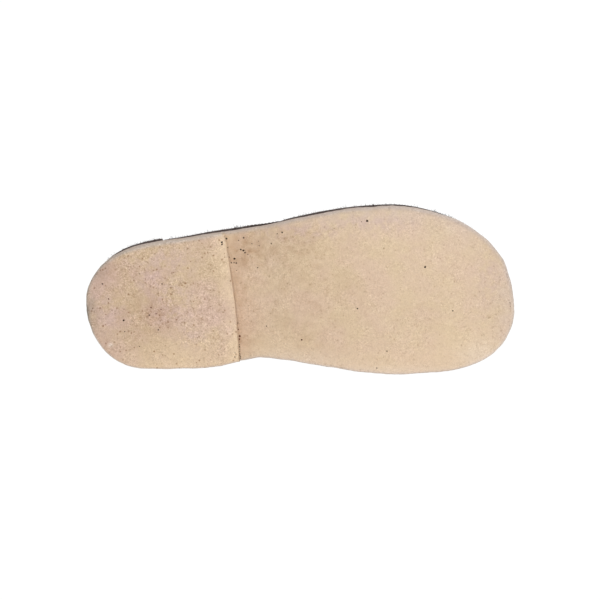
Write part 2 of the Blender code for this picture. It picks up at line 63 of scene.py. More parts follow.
def lay(points):
    """Standing millimetres (x heel to toe, y to the inner side, z up from the tread) to the lying shoe's
    metres: the heel's back plus each coordinate times its own axis."""
    return heel_back + MM * (points @ shoe_axes)


def stand(places):
    """The way back from lay: a place's components along the three axes, in millimetres."""
    return (places - heel_back) @ shoe_axes.T / MM


def table(names, *rows):
    """A short table read by column name, a row for each station."""
    return np.array(list(rows), dtype=[(name, float) for name in names.split()])


def unit(vectors):
    """Vectors divided by their own lengths."""
    return vectors / np.linalg.norm(vectors, axis=-1, keepdims=True)


SOLE_LENGTH, OUTSOLE_THICKNESS = 190.0, 6.0
OUTLINE = table(
    "share lateral medial",
    (0.00, 24.4, 30.0),
    (0.10, 24.6, 30.0),
    (0.21, 27.1, 29.9),
    (0.30, 29.7, 29.0),
    (0.36, 31.4, 27.3),
    (0.41, 33.0, 25.9),
    (0.47, 35.8, 26.6),
    (0.56, 39.6, 29.0),
    (0.65, 41.8, 31.6),
    (0.72, 42.4, 32.5),
    (0.80, 42.4, 31.7),
    (1.00, 42.3, 30.4),
)
HEEL_ROUND = {LATERAL: (0.16, 2.06), MEDIAL: (0.14, 2.1)}
TOE_ROUND = {LATERAL: (0.30, 2.0), MEDIAL: (0.20, 2.4)}
TOE_LEAN = table(
    "y forward",
    (-43.0, 0.0),
    (-36.0, 0.8),
    (-29.0, 0.2),
    (-19.0, 0.1),
    (-10.0, -1.0),
    (-6.0, -1.0),
    (12.0, 0.5),
    (25.0, 0.5),
    (31.0, 0.0),
)
TOE_LEAN_FROM, TOE_LEAN_FULL = 0.78, 0.86
UNDERSIDE = table(
    "share height",
    (0.00, 6.5),
    (0.37, 6.5),
    (0.41, 5.3),
    (0.46, 2.6),
    (0.51, 0.7),
    (0.55, 0.0),
    (0.80, 0.0),
    (0.87, 0.9),
    (0.94, 3.0),
    (1.00, 6.0),
)
SECTIONS = table(
    "share ridge_shift roundness lateral_in medial_in lateral_swell medial_swell",
    (0.00, 2.0, 2.00, 3.8, 3.8, 1.0, 1.0),
    (0.06, 1.6, 2.00, 3.72, 4.1, 1.1, 1.1),
    (0.17, 0.8, 2.00, 3.73, 4.7, 1.2, 1.3),
    (0.184, 0.65, 2.00, 3.46, 4.75, 1.2, 1.35),
    (0.20, 0.5, 2.00, 3.44, 4.8, 1.2, 1.4),
    (0.29, -0.9, 1.98, 2.88, 4.2, 1.2, 1.0),
    (0.39, -2.4, 1.95, 2.68, 3.6, 1.1, 0.5),
    (0.44, -2.8, 1.95, 1.72, 3.5, 1.0, 0.5),
    (0.48, -2.9, 1.95, 1.0, 3.3, 1.0, 0.5),
    (0.62, -3.2, 1.97, 0.95, 2.6, 1.2, 0.4),
    (0.75, -3.0, 2.05, 0.8, 2.4, 1.2, 0.4),
    (0.88, -2.0, 2.12, 1.1, 2.0, 0.9, 0.6),
    (1.00, -0.6, 2.20, 1.8, 1.8, 0.6, 0.6),
)
SLOPE_STEP = 0.002


def smooth(stations, values, at):
    """Monotone cubic: between two stations a cubic whose end slopes are the harmonic means of the
    neighbouring secants, and zero where the values turn."""
    step = np.diff(stations)
    secant = np.diff(values) / step
    both = secant[:-1] * secant[1:]
    turning = both <= 0
    tangent = np.zeros(len(values))
    tangent[1:-1] = np.where(turning, 0, 2 * both / np.where(turning, 1, secant[:-1] + secant[1:]))
    tangent[0], tangent[-1] = secant[0], secant[-1]
    at = np.clip(at, stations[0], stations[-1])
    i = np.clip(np.searchsorted(stations, at, side="right") - 1, 0, len(step) - 1)
    t = (at - stations[i]) / step[i]
    rise = values[i] + (values[i + 1] - values[i]) * t * t * (3 - 2 * t)
    return rise + step[i] * t * (1 - t) * (tangent[i] * (1 - t) - tangent[i + 1] * t)


def half_width(side, share):
    """Distance from the sole's axis to its edge: the outline table, closed at heel and toe by a factor
    (1 - u^n)^(1/n), with u running from 0 to 1 over the end's reach."""
    width = smooth(OUTLINE["share"], OUTLINE[SIDE_NAMES[side]], share)
    reach, power = HEEL_ROUND[side]
    back = np.clip(1 - share / reach, 0, 1)
    width = width * (1 - back**power) ** (1 / power)
    reach, power = TOE_ROUND[side]
    front = np.clip(1 - (1 - share) / reach, 0, 1)
    return width * (1 - front**power) ** (1 / power)


def share_of(along):
    """Share of the length for a place along the edge: half of one minus a cosine, crowded at the ends."""
    return (1 - np.cos(np.pi * along)) / 2


def along_of(share):
    """The way back from share_of."""
    return np.arccos(1 - 2 * np.asarray(share)) / np.pi


def toe_lean(share, y):
    """How far the toe's edge lies before or behind the plain rounding: the table's curve across the toe,
    eased in along the forefoot."""
    eased = np.clip((share - TOE_LEAN_FROM) / (TOE_LEAN_FULL - TOE_LEAN_FROM), 0, 1)
    return smooth(TOE_LEAN["y"], TOE_LEAN["forward"], y) * eased * eased * (3 - 2 * eased)


TIP_STEP = 1.0
TIP_SLOPE = (toe_lean(1.0, TIP_STEP / 2) - toe_lean(1.0, -TIP_STEP / 2)) / TIP_STEP


def edge(side, along):
    """Plan points of the sole's edge and its outward directions, square to the edge's own run."""

    def point(a):
        share = share_of(a)
        y = side * half_width(side, share)
        return np.stack([SOLE_LENGTH * share + toe_lean(share, y), y], -1)

    run = point(np.clip(along + SLOPE_STEP, 0, 1)) - point(np.clip(along - SLOPE_STEP, 0, 1))
    run[along <= 0] = (0, side)
    run[along >= 1] = (-side * TIP_SLOPE, -side)
    run = unit(run)
    return point(along), side * np.stack([-run[..., 1], run[..., 0]], -1)


def underside(x):
    """Height of the outsole's underside: the table's smooth curve."""
    return smooth(UNDERSIDE["share"], UNDERSIDE["height"], x / SOLE_LENGTH)


def section(name, share):
    """One column of the cross-sections, smoothed along the shoe."""
    return smooth(SECTIONS["share"], SECTIONS[name], share)


def feather_set_in(side, share):
    """How far the upper's lower edge stands in from the sole's edge."""
    return section(f"{SIDE_NAMES[side]}_in", share)


TOP_CELLS, WALL_CELLS, CORNER_STEPS = 12, 6, 7


def sheet_section(thickness, under, over, cells):
    """Closed section of a sheet whose lower and upper edges are rounded by under and over: along the
    underside from the lateral to the medial edge, up that wall, back over the top and down the lateral
    wall. The columns are the place across (-1 to 1), the set-in from the edge and the height."""
    arc = np.linspace(0, np.pi / 2, CORNER_STEPS)
    aside, lift = 1 - np.sin(arc), 1 - np.cos(arc)
    rise = np.linspace(under, thickness - over, WALL_CELLS + 1)[1:-1]
    wall_in = np.concatenate([under * aside, 0 * rise, over * aside[::-1]])
    wall_up = np.concatenate([under * lift, rise, thickness - over * lift[::-1]])
    below = np.linspace(-1, 1, cells + 1)[1:-1]
    above = np.linspace(1, -1, TOP_CELLS + 1)[1:-1]
    place = np.concatenate([below, 0 * wall_in + 1, above, 0 * wall_in - 1])
    set_in = np.concatenate([0 * below + under, wall_in, 0 * above + over, wall_in[::-1]])
    height = np.concatenate([0 * below, wall_up, 0 * above + thickness, wall_up[::-1]])
    return place, set_in, height


def sole_sheet(along, shape, floor, inset=0.0):
    """A sheet cut to the sole's outline: at each station the shape's points, straight across from the
    lateral edge to the medial one, both moved in by the shape's set-in, and lifted from floor(x)."""
    place, set_in, height = shape
    sides = []
    for side in (LATERAL, MEDIAL):
        plan, outward = edge(side, along[side])
        more = inset(side, share_of(along[side])) if callable(inset) else inset
        moved = set_in[None, :] + np.broadcast_to(more, along[side].shape)[:, None]
        sides.append(plan[:, None] - moved[..., None] * outward[:, None])
    t = ((place + 1) / 2)[None, :, None]
    plan = sides[0] * (1 - t) + sides[1] * t
    return np.concatenate([plan, (floor(plan[..., 0]) + height)[..., None]], -1)


def grid_faces(rows, columns, wrap=False):
    """Corner numbers of the quads of a grid of points, row after row; wrap joins last column to first."""
    i, j = np.meshgrid(np.arange(rows - 1), np.arange(columns if wrap else columns - 1), indexing="ij")
    right = (j + 1) % columns
    quads = [i * columns + j, i * columns + right, (i + 1) * columns + right, (i + 1) * columns + j]
    return np.stack(quads, -1).reshape(-1, 4)


def add_object(name, data):
    """An object of the scene with the given data, at the origin."""
    made = bpy.data.objects.new(name, data)
    bpy.context.scene.collection.objects.link(made)
    return made


WELD = 0.00002


def make_piece(name, points, faces, finishes, slot, *nodes, weld=WELD):
    """A smooth mesh object from points in standing millimetres, doubles merged, riding on the shoe."""
    mesh = bpy.data.meshes.new(name)
    mesh.from_pydata(lay(points.reshape(-1, 3)), [], faces if isinstance(faces, list) else faces.tolist())
    bm = bmesh.new()
    bm.from_mesh(mesh)
    bmesh.ops.remove_doubles(bm, verts=bm.verts, dist=weld)
    bm.to_mesh(mesh)
    bm.free()
    mesh.shade_smooth()
    for finish in finishes:
        mesh.materials.append(finish)
    piece = add_object(name, mesh)
    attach(piece, "root")
    if nodes:
        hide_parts(*nodes)
    return piece


def srgb(red, green, blue):
    """Linear colour of a display colour from 0 to 255: the display's own curve, undone."""
    shown = np.array([red, green, blue]) / 255
    linear = np.where(shown <= 0.04045, shown / 12.92, ((shown + 0.055) / 1.055) ** 2.4)
    return (*linear.tolist(), 1.0)


def fill(tree, node, inputs):
    """Gives a node's inputs, by number or by name, their values; sockets are linked."""
    for key, value in inputs.items():
        if isinstance(value, bpy.types.NodeSocket):
            tree.links.new(value, node.inputs[key])
        else:
            node.inputs[key].default_value = value


def add_node(tree, kind, *values, settings=None, **named):
    """A shader node with its settings, and its inputs by order or by name."""
    made = tree.nodes.new(kind)
    for key, value in (settings or {}).items():
        setattr(made, key, value)
    fill(tree, made, dict(enumerate(values)))
    fill(tree, made, {key.replace("_", " "): value for key, value in named.items()})
    return made


MIX_FACTOR, MIX_FIRST, MIX_SECOND, MIX_RESULT = 0, 6, 7, 2


def blend(tree, factor, first, second):
    """Colour between two colours, by a factor."""
    made = add_node(tree, "ShaderNodeMix", settings={"data_type": "RGBA"})
    fill(tree, made, {MIX_FACTOR: factor, MIX_FIRST: first, MIX_SECOND: second})
    return made.outputs[MIX_RESULT]


def noise(tree, vector, scale, detail=2.0, roughness=0.5, **more):
    """Noise value between 0 and 1, at a number of grains per millimetre."""
    values = {"Vector": vector, "Scale": scale, "Detail": detail, "Roughness": roughness, **more}
    return add_node(tree, "ShaderNodeTexNoise", **values).outputs["Fac"]


def between(tree, value, low, high, to=(0.0, 1.0)):
    """A value's place between two limits, eased, carried over to two new limits."""
    inputs = {"Value": value, "From_Min": low, "From_Max": high, "To_Min": to[0], "To_Max": to[1]}
    settings = {"interpolation_type": "SMOOTHSTEP"}
    return add_node(tree, "ShaderNodeMapRange", settings=settings, **inputs).outputs["Result"]


def math_node(tree, operation, *values):
    """Result of one Math node."""
    return add_node(tree, "ShaderNodeMath", *values, settings={"operation": operation}).outputs[0]


def vector_math(tree, operation, *values, **named):
    """Result of one Vector Math node."""
    settings = {"operation": operation}
    return add_node(tree, "ShaderNodeVectorMath", *values, settings=settings, **named).outputs[0]


def scaled(tree, vector, factor):
    """A vector or a colour times a factor."""
    return vector_math(tree, "SCALE", vector, Scale=factor)


def in_millimetres(tree):
    """Object coordinates in millimetres."""
    return scaled(tree, add_node(tree, "ShaderNodeTexCoord").outputs["Object"], 1 / MM)


def new_material(name, **values):
    """A material with its Principled shader's constant values set; returns it, its tree and its shader."""
    made = bpy.data.materials.new(name)
    made.use_nodes = True
    shader = made.node_tree.nodes["Principled BSDF"]
    for key, value in values.items():
        shader.inputs[key.replace("_", " ")].default_value = value
    return made, made.node_tree, shader


def bump(tree, shader, height, strength, distance):
    """A Bump node on the shader's normal; the distance is in metres."""
    made = add_node(tree, "ShaderNodeBump", Strength=strength, Distance=distance, Height=height)
    tree.links.new(made.outputs["Normal"], shader.inputs["Normal"])


LINING_TAN, LINING_DARK = srgb(196, 164, 128), srgb(170, 136, 101)


def lining_leather():
    """Smooth pigskin-like leather: tan, a little darker in broad patches, with fine pores."""
    made, tree, shader = new_material("lining_leather", Roughness=0.62, Specular_IOR_Level=0.35)
    place = in_millimetres(tree)
    patch = between(tree, noise(tree, place, scale=0.05, detail=3.0), low=0.35, high=0.7)
    grain = noise(tree, place, scale=1.6, detail=3.0, roughness=0.6)
    color = blend(tree, patch, LINING_TAN, LINING_DARK)
    shade = between(tree, grain, low=0.2, high=0.8, to=(0.9, 1.06))
    tree.links.new(scaled(tree, color, shade), shader.inputs["Base Color"])
    bump(tree, shader, grain, strength=0.25, distance=0.0002)
    return made


lining = lining_leather()

INSOLE_THICKNESS, INSOLE_ROUNDING, UPPER_WALL, INSOLE_GAP = 3.0, 0.6, 1.8, 0.5


def insole_set_in(side, share):
    """The insole's edge stands just inside the upper's wall."""
    return feather_set_in(side, share) + UPPER_WALL + INSOLE_GAP


INSOLE_STATIONS = 121
insole_along = np.linspace(0, 1, INSOLE_STATIONS)
insole_shape = sheet_section(INSOLE_THICKNESS, INSOLE_ROUNDING, INSOLE_ROUNDING, TOP_CELLS)
make_piece(
    "footbed",
    sole_sheet(
        {LATERAL: insole_along, MEDIAL: insole_along},
        insole_shape,
        lambda x: underside(x) + OUTSOLE_THICKNESS,
        insole_set_in,
    ),
    grid_faces(INSOLE_STATIONS, len(insole_shape[0]), wrap=True),
    [lining],
    "lining",
    "insole",
)

# Upper: the vamp and its lining, one shell pulled over the last and glued under its edge to the outsole.
# Napped suede outside, tan lining leather inside. Only a thin line of it shows past the sole's outer edge.

RIDGE = table(
    "from_heel height",
    (20, 93.0),
    (40, 92.0),
    (60, 88.0),
    (80, 79.5),
    (100, 68.5),
    (124, 56.0),
    (140, 50.5),
    (155, 47.0),
    (170, 44.0),
    (182, 41.0),
    (192, 38.0),
)
RIDGE_BACK, RIDGE_FRONT = 30.0, 148.0
SWELL_HEIGHT = 10.0
TOPLINE = table(
    "from_heel height",
    (0, 66.5),
    (9, 65.0),
    (18, 61.5),
    (30, 57.5),
    (45, 55.5),
    (58, 58.5),
    (70, 65.5),
    (80, 73.5),
    (90, 84.0),
    (100, 100.0),
)
MEDIAL_RISE = 1.5
COLLAR_DIP, THROAT_BACK, THROAT_FRONT = 45.0, 82.0, 124.0
THROAT_TOP_GAP, THROAT_LOW_GAP = 8.5, 5.5
FACING_CORNER = 5.0
TRIM_COLUMNS, TRIM_ROWS = 801, 601


def ridge_height(x):
    """Height of the ridge line over toe, vamp and instep."""
    return smooth(RIDGE["from_heel"], RIDGE["height"], x)


def ridge_along(x):
    """Place along the sole's edge of the wall line that ends on the ridge at x."""
    return along_of((x - RIDGE_BACK) / (RIDGE_FRONT - RIDGE_BACK))


def wall(side, along, rise):
    """The upper's outer face on one side, from the feather line (rise 0) over to the ridge (rise 1): a
    quarter of a rounded section, so the way inward is 1 - cos^(2/n) and the way up is the sine, with a
    hump of swell (h e^(1-h))^2 above the feather line."""
    share = share_of(along)
    plan, outward = edge(side, along)
    feather = plan - feather_set_in(side, share)[..., None] * outward
    foot = underside(SOLE_LENGTH * share) + OUTSOLE_THICKNESS
    ridge = np.stack([RIDGE_BACK + (RIDGE_FRONT - RIDGE_BACK) * share, section("ridge_shift", share)], -1)
    turn = rise * np.pi / 2
    inward = 1 - np.cos(turn) ** (2 / section("roundness", share))
    upward = np.sin(turn)
    height = (ridge_height(ridge[..., 0]) - foot) * upward / SWELL_HEIGHT
    hump = (height * np.exp(1 - height)) ** 2
    swell = section(f"{SIDE_NAMES[side]}_swell", share) * hump * np.cos(turn) ** 2
    place = feather + inward[..., None] * (ridge - feather) + swell[..., None] * outward
    top = ridge_height(place[..., 0])
    return np.concatenate([place, (foot + (top - foot) * upward)[..., None]], -1)


def last(turn, rise):
    """The upper's outer face all round: turn runs from the toe (-1) along the lateral side to the back
    seam (0) and along the medial side to the toe (1)."""
    turn, rise = np.broadcast_arrays(np.asarray(turn, float), np.asarray(rise, float))
    lateral, medial = (wall(side, np.abs(turn), rise) for side in (LATERAL, MEDIAL))
    return np.where((turn < 0)[..., None], lateral, medial)


def outward_of(turn, rise):
    """Unit normals of the outer face: the cross product of its two slopes, taken over a small step."""
    turn, rise = np.broadcast_arrays(np.asarray(turn, float), np.asarray(rise, float))
    low, high = np.clip(turn - SLOPE_STEP, -1, 1), np.clip(turn + SLOPE_STEP, -1, 1)
    run = last(high, rise) - last(low, rise)
    up = last(turn, np.clip(rise + SLOPE_STEP, 0, 1)) - last(turn, np.clip(rise - SLOPE_STEP, 0, 1))
    sideways = np.array((0.0, 1.0, 0.0)) * np.where(turn < 0, 1, -1)[..., None]
    inside = (np.abs(turn) < 1)[..., None]
    up = np.where((rise > 1 - SLOPE_STEP)[..., None] & inside, sideways, up)
    toe = np.stack([up[..., 2], 0 * rise, -up[..., 0]], -1)
    normal = np.where(inside, np.cross(up, run), toe)
    return unit(normal)


def raised(turn, rise, height):
    """The outer face moved out by a height, or in where the height is negative."""
    return last(turn, rise) + np.asarray(height)[..., None] * outward_of(turn, rise)


def throat_gap(x):
    """Half width of the throat: narrowing in a straight line from the collar, closed in front by a
    quarter of an ellipse, and negative behind the collar's dip, where no throat is cut."""
    share = np.clip((x - THROAT_BACK) / (THROAT_FRONT - THROAT_BACK), 0, 1)
    gap = THROAT_TOP_GAP + (THROAT_LOW_GAP - THROAT_TOP_GAP) * share
    end = np.clip((x - THROAT_FRONT + THROAT_LOW_GAP) / THROAT_LOW_GAP, 0, 1)
    return np.where(x > COLLAR_DIP, gap * np.sqrt(1 - end**2), -gap)


def from_ridge(points):
    """Sideways distance of points from the ridge line above them."""
    share = np.clip((points[..., 0] - RIDGE_BACK) / (RIDGE_FRONT - RIDGE_BACK), 0, 1)
    return np.abs(points[..., 1] - section("ridge_shift", share))


def first_rise(turn, outside):
    """For each wall line, the rise at which outside(points) first turns positive, or 1."""
    rise = np.linspace(0, 1, TRIM_ROWS)
    value = outside(last(turn[:, None], rise[None, :]))
    past = value > 0
    at = np.argmax(past, axis=1)
    row = np.arange(len(turn))
    before, after = value[row, np.maximum(at - 1, 0)], value[row, at]
    part = np.where(past.any(axis=1), before / np.where(before == after, 1, before - after), 0)
    return np.where(past.any(axis=1), (at - 1 + part) / (TRIM_ROWS - 1), 1.0)


def outside_upper(points):
    """Positive above the collar line or inside the throat, the two joined by a smooth maximum."""
    x, y, z = np.moveaxis(points, -1, 0)
    collar = smooth(TOPLINE["from_heel"], TOPLINE["height"], x)
    above = z - collar - np.where(y > 0, MEDIAL_RISE, 0) * np.clip(x / THROAT_BACK, 0, 1)
    inside = throat_gap(x) - from_ridge(points)
    part = np.clip(0.5 + 0.5 * (above - inside) / FACING_CORNER, 0, 1)
    return inside + (above - inside) * part + FACING_CORNER * part * (1 - part)


trim_turn = np.linspace(-1, 1, TRIM_COLUMNS)
trim_rise = first_rise(trim_turn, outside_upper)


def top_rise(turn):
    """Rise at which the upper ends: at the collar, at the throat's edge, or on the closed ridge."""
    return np.interp(turn, trim_turn, trim_rise)


EYELET_STATIONS = (113.0, 101.5, 90.0)
EYELET_FROM_EDGE, EYELET_HOLE = 6.5, 2.3


def facing_place(side, x, from_edge, height):
    """Point above the facing, at a distance from the throat's edge, and the way the face points."""
    turn = np.array([side * ridge_along(x)])
    rise = first_rise(turn, lambda p: throat_gap(p[..., 0]) + from_edge - from_ridge(p))
    return raised(turn, rise, np.array([height]))[0], outward_of(turn, rise)[0]


hole_centres = np.array(
    [facing_place(side, x, EYELET_FROM_EDGE, 0.0)[0] for side in SIDE_NAMES for x in EYELET_STATIONS]
)


def from_holes(points):
    """Distance of each point from the nearest eyelet's centre."""
    return np.linalg.norm(points[:, None] - hole_centres[None], axis=-1).min(axis=1)


def without_holes(points, faces):
    """The faces whose middles lie further from every eyelet's centre than the punched hole's radius."""
    return faces[from_holes(points.reshape(-1, 3)[faces].mean(axis=1)) > EYELET_HOLE]


BEVEL_STEPS, BEVEL_FROM = 2, np.radians(60)


def thicken(piece, thickness, offset, rounding, inside_finish=0):
    """A wall by Solidify, outwards (offset 1) or inwards (-1), its cut edges rounded by Bevel."""
    solid = piece.modifiers.new("wall", "SOLIDIFY")
    solid.thickness = thickness * MM
    solid.offset = offset
    solid.material_offset = solid.material_offset_rim = inside_finish
    bevel = piece.modifiers.new("cut_edge", "BEVEL")
    bevel.width = rounding * MM
    bevel.segments = BEVEL_STEPS
    bevel.limit_method = "ANGLE"
    bevel.angle_limit = BEVEL_FROM


SUEDE_DARK, SUEDE_LIGHT = srgb(70, 58, 56), srgb(84, 70, 66)
NAP_STRETCH, NAP_SHADE = (0.4, 1.0, 1.0), (0.74, 1.26)


def suede_nap():
    """Suede: short fibres lying in brushed patches and in fine locks drawn out along the shoe, lighter
    where they lie towards the light, with a soft sheen at grazing angles from the fibre tips."""
    made, tree, shader = new_material(
        "dark_suede",
        Roughness=0.95,
        Specular_IOR_Level=0.15,
        Sheen_Weight=0.35,
        Sheen_Roughness=0.45,
        Sheen_Tint=srgb(150, 132, 124),
    )
    place = in_millimetres(tree)
    brushed = between(tree, noise(tree, place, scale=0.035), low=0.3, high=0.7)
    drawn_out = vector_math(tree, "MULTIPLY", place, NAP_STRETCH)
    lock = noise(tree, drawn_out, scale=0.7, detail=3.0, roughness=0.65)
    fibre = noise(tree, place, scale=3.4, detail=3.0, roughness=0.75)
    color = blend(tree, brushed, SUEDE_DARK, SUEDE_LIGHT)
    color = scaled(tree, color, between(tree, lock, low=0.3, high=0.7, to=NAP_SHADE))
    shade = between(tree, fibre, low=0.2, high=0.8, to=(0.62, 1.3))
    tree.links.new(scaled(tree, color, shade), shader.inputs["Base Color"])
    bump(tree, shader, fibre, strength=0.5, distance=0.0003)
    return made


suede = suede_nap()

UPPER_COLUMNS, WALL_ROWS, CUT_EDGE = 301, 45, 0.45
upper_turn = np.linspace(1, -1, UPPER_COLUMNS)[None, :]
upper_rise = np.linspace(0, 1, WALL_ROWS)[:, None]
upper_points = last(upper_turn, upper_rise * top_rise(upper_turn))
upper = make_piece(
    "vamp_and_lining",
    upper_points,
    without_holes(upper_points, grid_faces(WALL_ROWS, UPPER_COLUMNS)),
    [suede, lining],
    "suede",
    "upper",
)
thicken(upper, UPPER_WALL, -1, CUT_EDGE, inside_finish=1)

# Quarters: the two side panels with the facings, cut from the same suede, laid over the vamp from the
# back seam to a slanted front edge and stitched down along it.

QUARTER_FRONT = table(
    "rise share",
    (0.00, 0.350),
    (0.30, 0.425),
    (0.60, 0.600),
    (0.85, 0.745),
    (1.00, 0.740),
)
QUARTER_THICKNESS, BACK_SEAM, LAID_ON = 1.4, 0.0015, 0.1
QUARTER_COLUMNS = 151


def front_edge(edge_table, up):
    """Place along the sole's edge of an overlay's front edge, at a share of the wall's height."""
    return along_of(smooth(edge_table["rise"], edge_table["share"], up))


panel_up = np.linspace(0, 1, WALL_ROWS)[:, None]
for side, label in SIDE_NAMES.items():
    column = np.linspace(0, 1, QUARTER_COLUMNS)[None, :]
    column = column if side == LATERAL else 1 - column
    quarter_turn = side * (BACK_SEAM + (front_edge(QUARTER_FRONT, panel_up) - BACK_SEAM) * column)
    quarter_points = raised(quarter_turn, panel_up * top_rise(quarter_turn), LAID_ON)
    quarter = make_piece(
        f"quarter_panel_{label}",
        quarter_points,
        without_holes(quarter_points, grid_faces(WALL_ROWS, QUARTER_COLUMNS)),
        [suede],
        "suede",
        f"quarter_{label}",
    )
    thicken(quarter, QUARTER_THICKNESS, 1, CUT_EDGE)

# Counter: the heel patch, suede, laid over the back seam and the ends of both quarters and stitched along
# its two curved front edges. Its lower front corner makes the small kink in the dark line past the sole.

COUNTER_FRONT = table("rise share", (0.00, 0.179), (0.50, 0.160), (1.00, 0.095))
COUNTER_LAID, COUNTER_THICKNESS, COUNTER_COLUMNS = 1.5, 0.9, 121
counter_turn = front_edge(COUNTER_FRONT, panel_up) * np.linspace(1, -1, COUNTER_COLUMNS)[None, :]
counter = make_piece(
    "heel_counter",
    raised(counter_turn, panel_up * top_rise(counter_turn), COUNTER_LAID),
    grid_faces(WALL_ROWS, COUNTER_COLUMNS),
    [suede],
    "suede",
    "counter",
)
thicken(counter, COUNTER_THICKNESS, 1, CUT_EDGE)

# Tongue: a suede leaf sewn under the vamp, lying on the instep under the facings. Its top stands above
# the collar, rounded, with its sides flared up.

TONGUE_TOP, TONGUE_ROOT = 63.0, 140.0
TONGUE_TOP_WIDTH, TONGUE_ROOT_WIDTH = 13.0, 15.0
TONGUE_TOP_ROUNDING, TONGUE_ROOT_ROUNDING, TONGUE_END_CURVE = 9.0, 14.0, 1.8
TONGUE_FLARE, TONGUE_FLARE_REACH = 0.60, 0.24
TONGUE_DEPTH, TONGUE_THICKNESS = 3.2, 2.0
TONGUE_ROWS, TONGUE_COLUMNS, TONGUE_STATIONS = 81, 41, 61

tongue_x = np.linspace(TONGUE_TOP, TONGUE_ROOT, TONGUE_STATIONS)
tongue_width = np.linspace(TONGUE_TOP_WIDTH, TONGUE_ROOT_WIDTH, TONGUE_STATIONS)
tongue_low = {
    side: first_rise(side * ridge_along(tongue_x), lambda p: tongue_width[:, None] - from_ridge(p))
    for side in SIDE_NAMES
}


def tongue_place(s, t):
    """Points of the tongue: s runs from its top to its root along the ridge, t from the lateral to the
    medial edge, sunk below the last's face. The sides flare up near the top by a share of their drop."""
    across = np.abs(2 * t - 1)
    rounding = TONGUE_TOP_ROUNDING * (1 - s) - TONGUE_ROOT_ROUNDING * s
    x = TONGUE_TOP + (TONGUE_ROOT - TONGUE_TOP) * s + rounding * across**TONGUE_END_CURVE
    lateral, medial = (np.interp(x, tongue_x, tongue_low[side]) for side in SIDE_NAMES)
    turn = np.where(t < 0.5, LATERAL, MEDIAL) * ridge_along(x)
    points = raised(turn, 1 - (1 - np.where(t < 0.5, lateral, medial)) * across, -TONGUE_DEPTH)
    crown = raised(turn, np.ones_like(x), -TONGUE_DEPTH)
    flare = TONGUE_FLARE * np.clip(1 - s / TONGUE_FLARE_REACH, 0, 1) ** 2
    points[..., 2] += flare * (crown - points)[..., 2]
    return points


tongue_s, tongue_t = np.linspace(0, 1, TONGUE_ROWS), np.linspace(0, 1, TONGUE_COLUMNS)
tongue = make_piece(
    "tongue_leaf",
    tongue_place(*np.meshgrid(tongue_s, tongue_t, indexing="ij")),
    grid_faces(TONGUE_ROWS, TONGUE_COLUMNS)[:, ::-1],
    [suede, lining],
    "suede",
    "tongue",
)
thicken(tongue, TONGUE_THICKNESS, -1, CUT_EDGE, inside_finish=1)

# Stitching: rows of short lockstitches in tonal waxed thread, two along each overlay's front edge and one
# along the collar and the facings. Each stitch is a small capsule pressed half into the suede.

STITCH_LENGTH, STITCH_PITCH, STITCH_RADIUS = 2.0, 2.7, 0.28
ROW_OFFSETS, TOP_ROW_OFFSET, SEAM_STEP = (1.6, 3.6), 2.0, SLOPE_STEP / 2
EDGE_ROW_LOW, EDGE_ROW_HIGH, EDGE_ROW_POINTS = 0.03, 0.97, 200
TOP_ROW_BACK, TOP_ROW_FRONT, TOP_ROW_POINTS = 0.01, 0.02, 400
THREAD_COLOR, THREAD_DARK = srgb(104, 88, 80), srgb(70, 58, 53)


def waxed_thread():
    """Twisted thread: fine slanted strands, a dull wax gloss."""
    made, tree, shader = new_material("waxed_thread", Roughness=0.6, Specular_IOR_Level=0.4)
    strand = noise(tree, in_millimetres(tree), scale=5.0, roughness=0.6)
    color = blend(tree, between(tree, strand, low=0.3, high=0.7), THREAD_DARK, THREAD_COLOR)
    tree.links.new(color, shader.inputs["Base Color"])
    bump(tree, shader, strand, strength=0.4, distance=0.0001)
    return made


def span(turn, rise, turn_step=0.0, rise_step=0.0):
    """Millimetres of surface for one unit of turn or of rise, whichever has a step."""
    run = last(turn + turn_step, rise + rise_step) - last(turn - turn_step, rise - rise_step)
    return np.linalg.norm(run, axis=-1) / (2 * (turn_step + rise_step))


def seam_places(turn, rise, height):
    """Even steps of one stitch pitch along a seam: the stitches' middles, their run and the way out."""
    points = raised(turn, rise, height)
    length = np.concatenate([[0], np.cumsum(np.linalg.norm(np.diff(points, axis=0), axis=-1))])
    at = np.arange(STITCH_PITCH / 2, length[-1] - STITCH_PITCH / 2, STITCH_PITCH)
    turn_at, rise_at = np.interp(at, length, turn), np.interp(at, length, rise)
    ahead = [np.interp(at + STITCH_LENGTH / 4, length, points[:, k]) for k in range(3)]
    behind = [np.interp(at - STITCH_LENGTH / 4, length, points[:, k]) for k in range(3)]
    run = unit(np.stack(ahead, -1) - np.stack(behind, -1))
    return raised(turn_at, rise_at, height), run, outward_of(turn_at, rise_at)


def edge_row(edge_table, side, offset, height):
    """A row of stitches at a distance behind an overlay's front edge."""
    up = np.linspace(EDGE_ROW_LOW, EDGE_ROW_HIGH, EDGE_ROW_POINTS)
    along = front_edge(edge_table, up)
    rise = up * top_rise(side * along)
    along = along - offset / span(side * along, rise, turn_step=SEAM_STEP)
    return seam_places(side * along, up * top_rise(side * along), height)


def top_row(side, height):
    """The row below the collar's edge and beside the throat, from the counter to the facing's front."""
    back = front_edge(COUNTER_FRONT, 1.0) + TOP_ROW_BACK
    front = front_edge(QUARTER_FRONT, 1.0) - TOP_ROW_FRONT
    along = np.linspace(back, front, TOP_ROW_POINTS)
    rise = top_rise(side * along)
    rise = rise - TOP_ROW_OFFSET / span(side * along, rise - SLOPE_STEP, rise_step=SEAM_STEP)
    return seam_places(side * along, rise, height)


STITCH_RINGS, STITCH_SIDES, BLUNT_END = 7, 6, 0.04


def repeated(faces, count, points_each):
    """The same faces for each of many copies, whose points follow one another."""
    first = (np.arange(count) * points_each)[:, None, None]
    return (faces[None] + first).reshape(-1, faces.shape[1]).tolist()


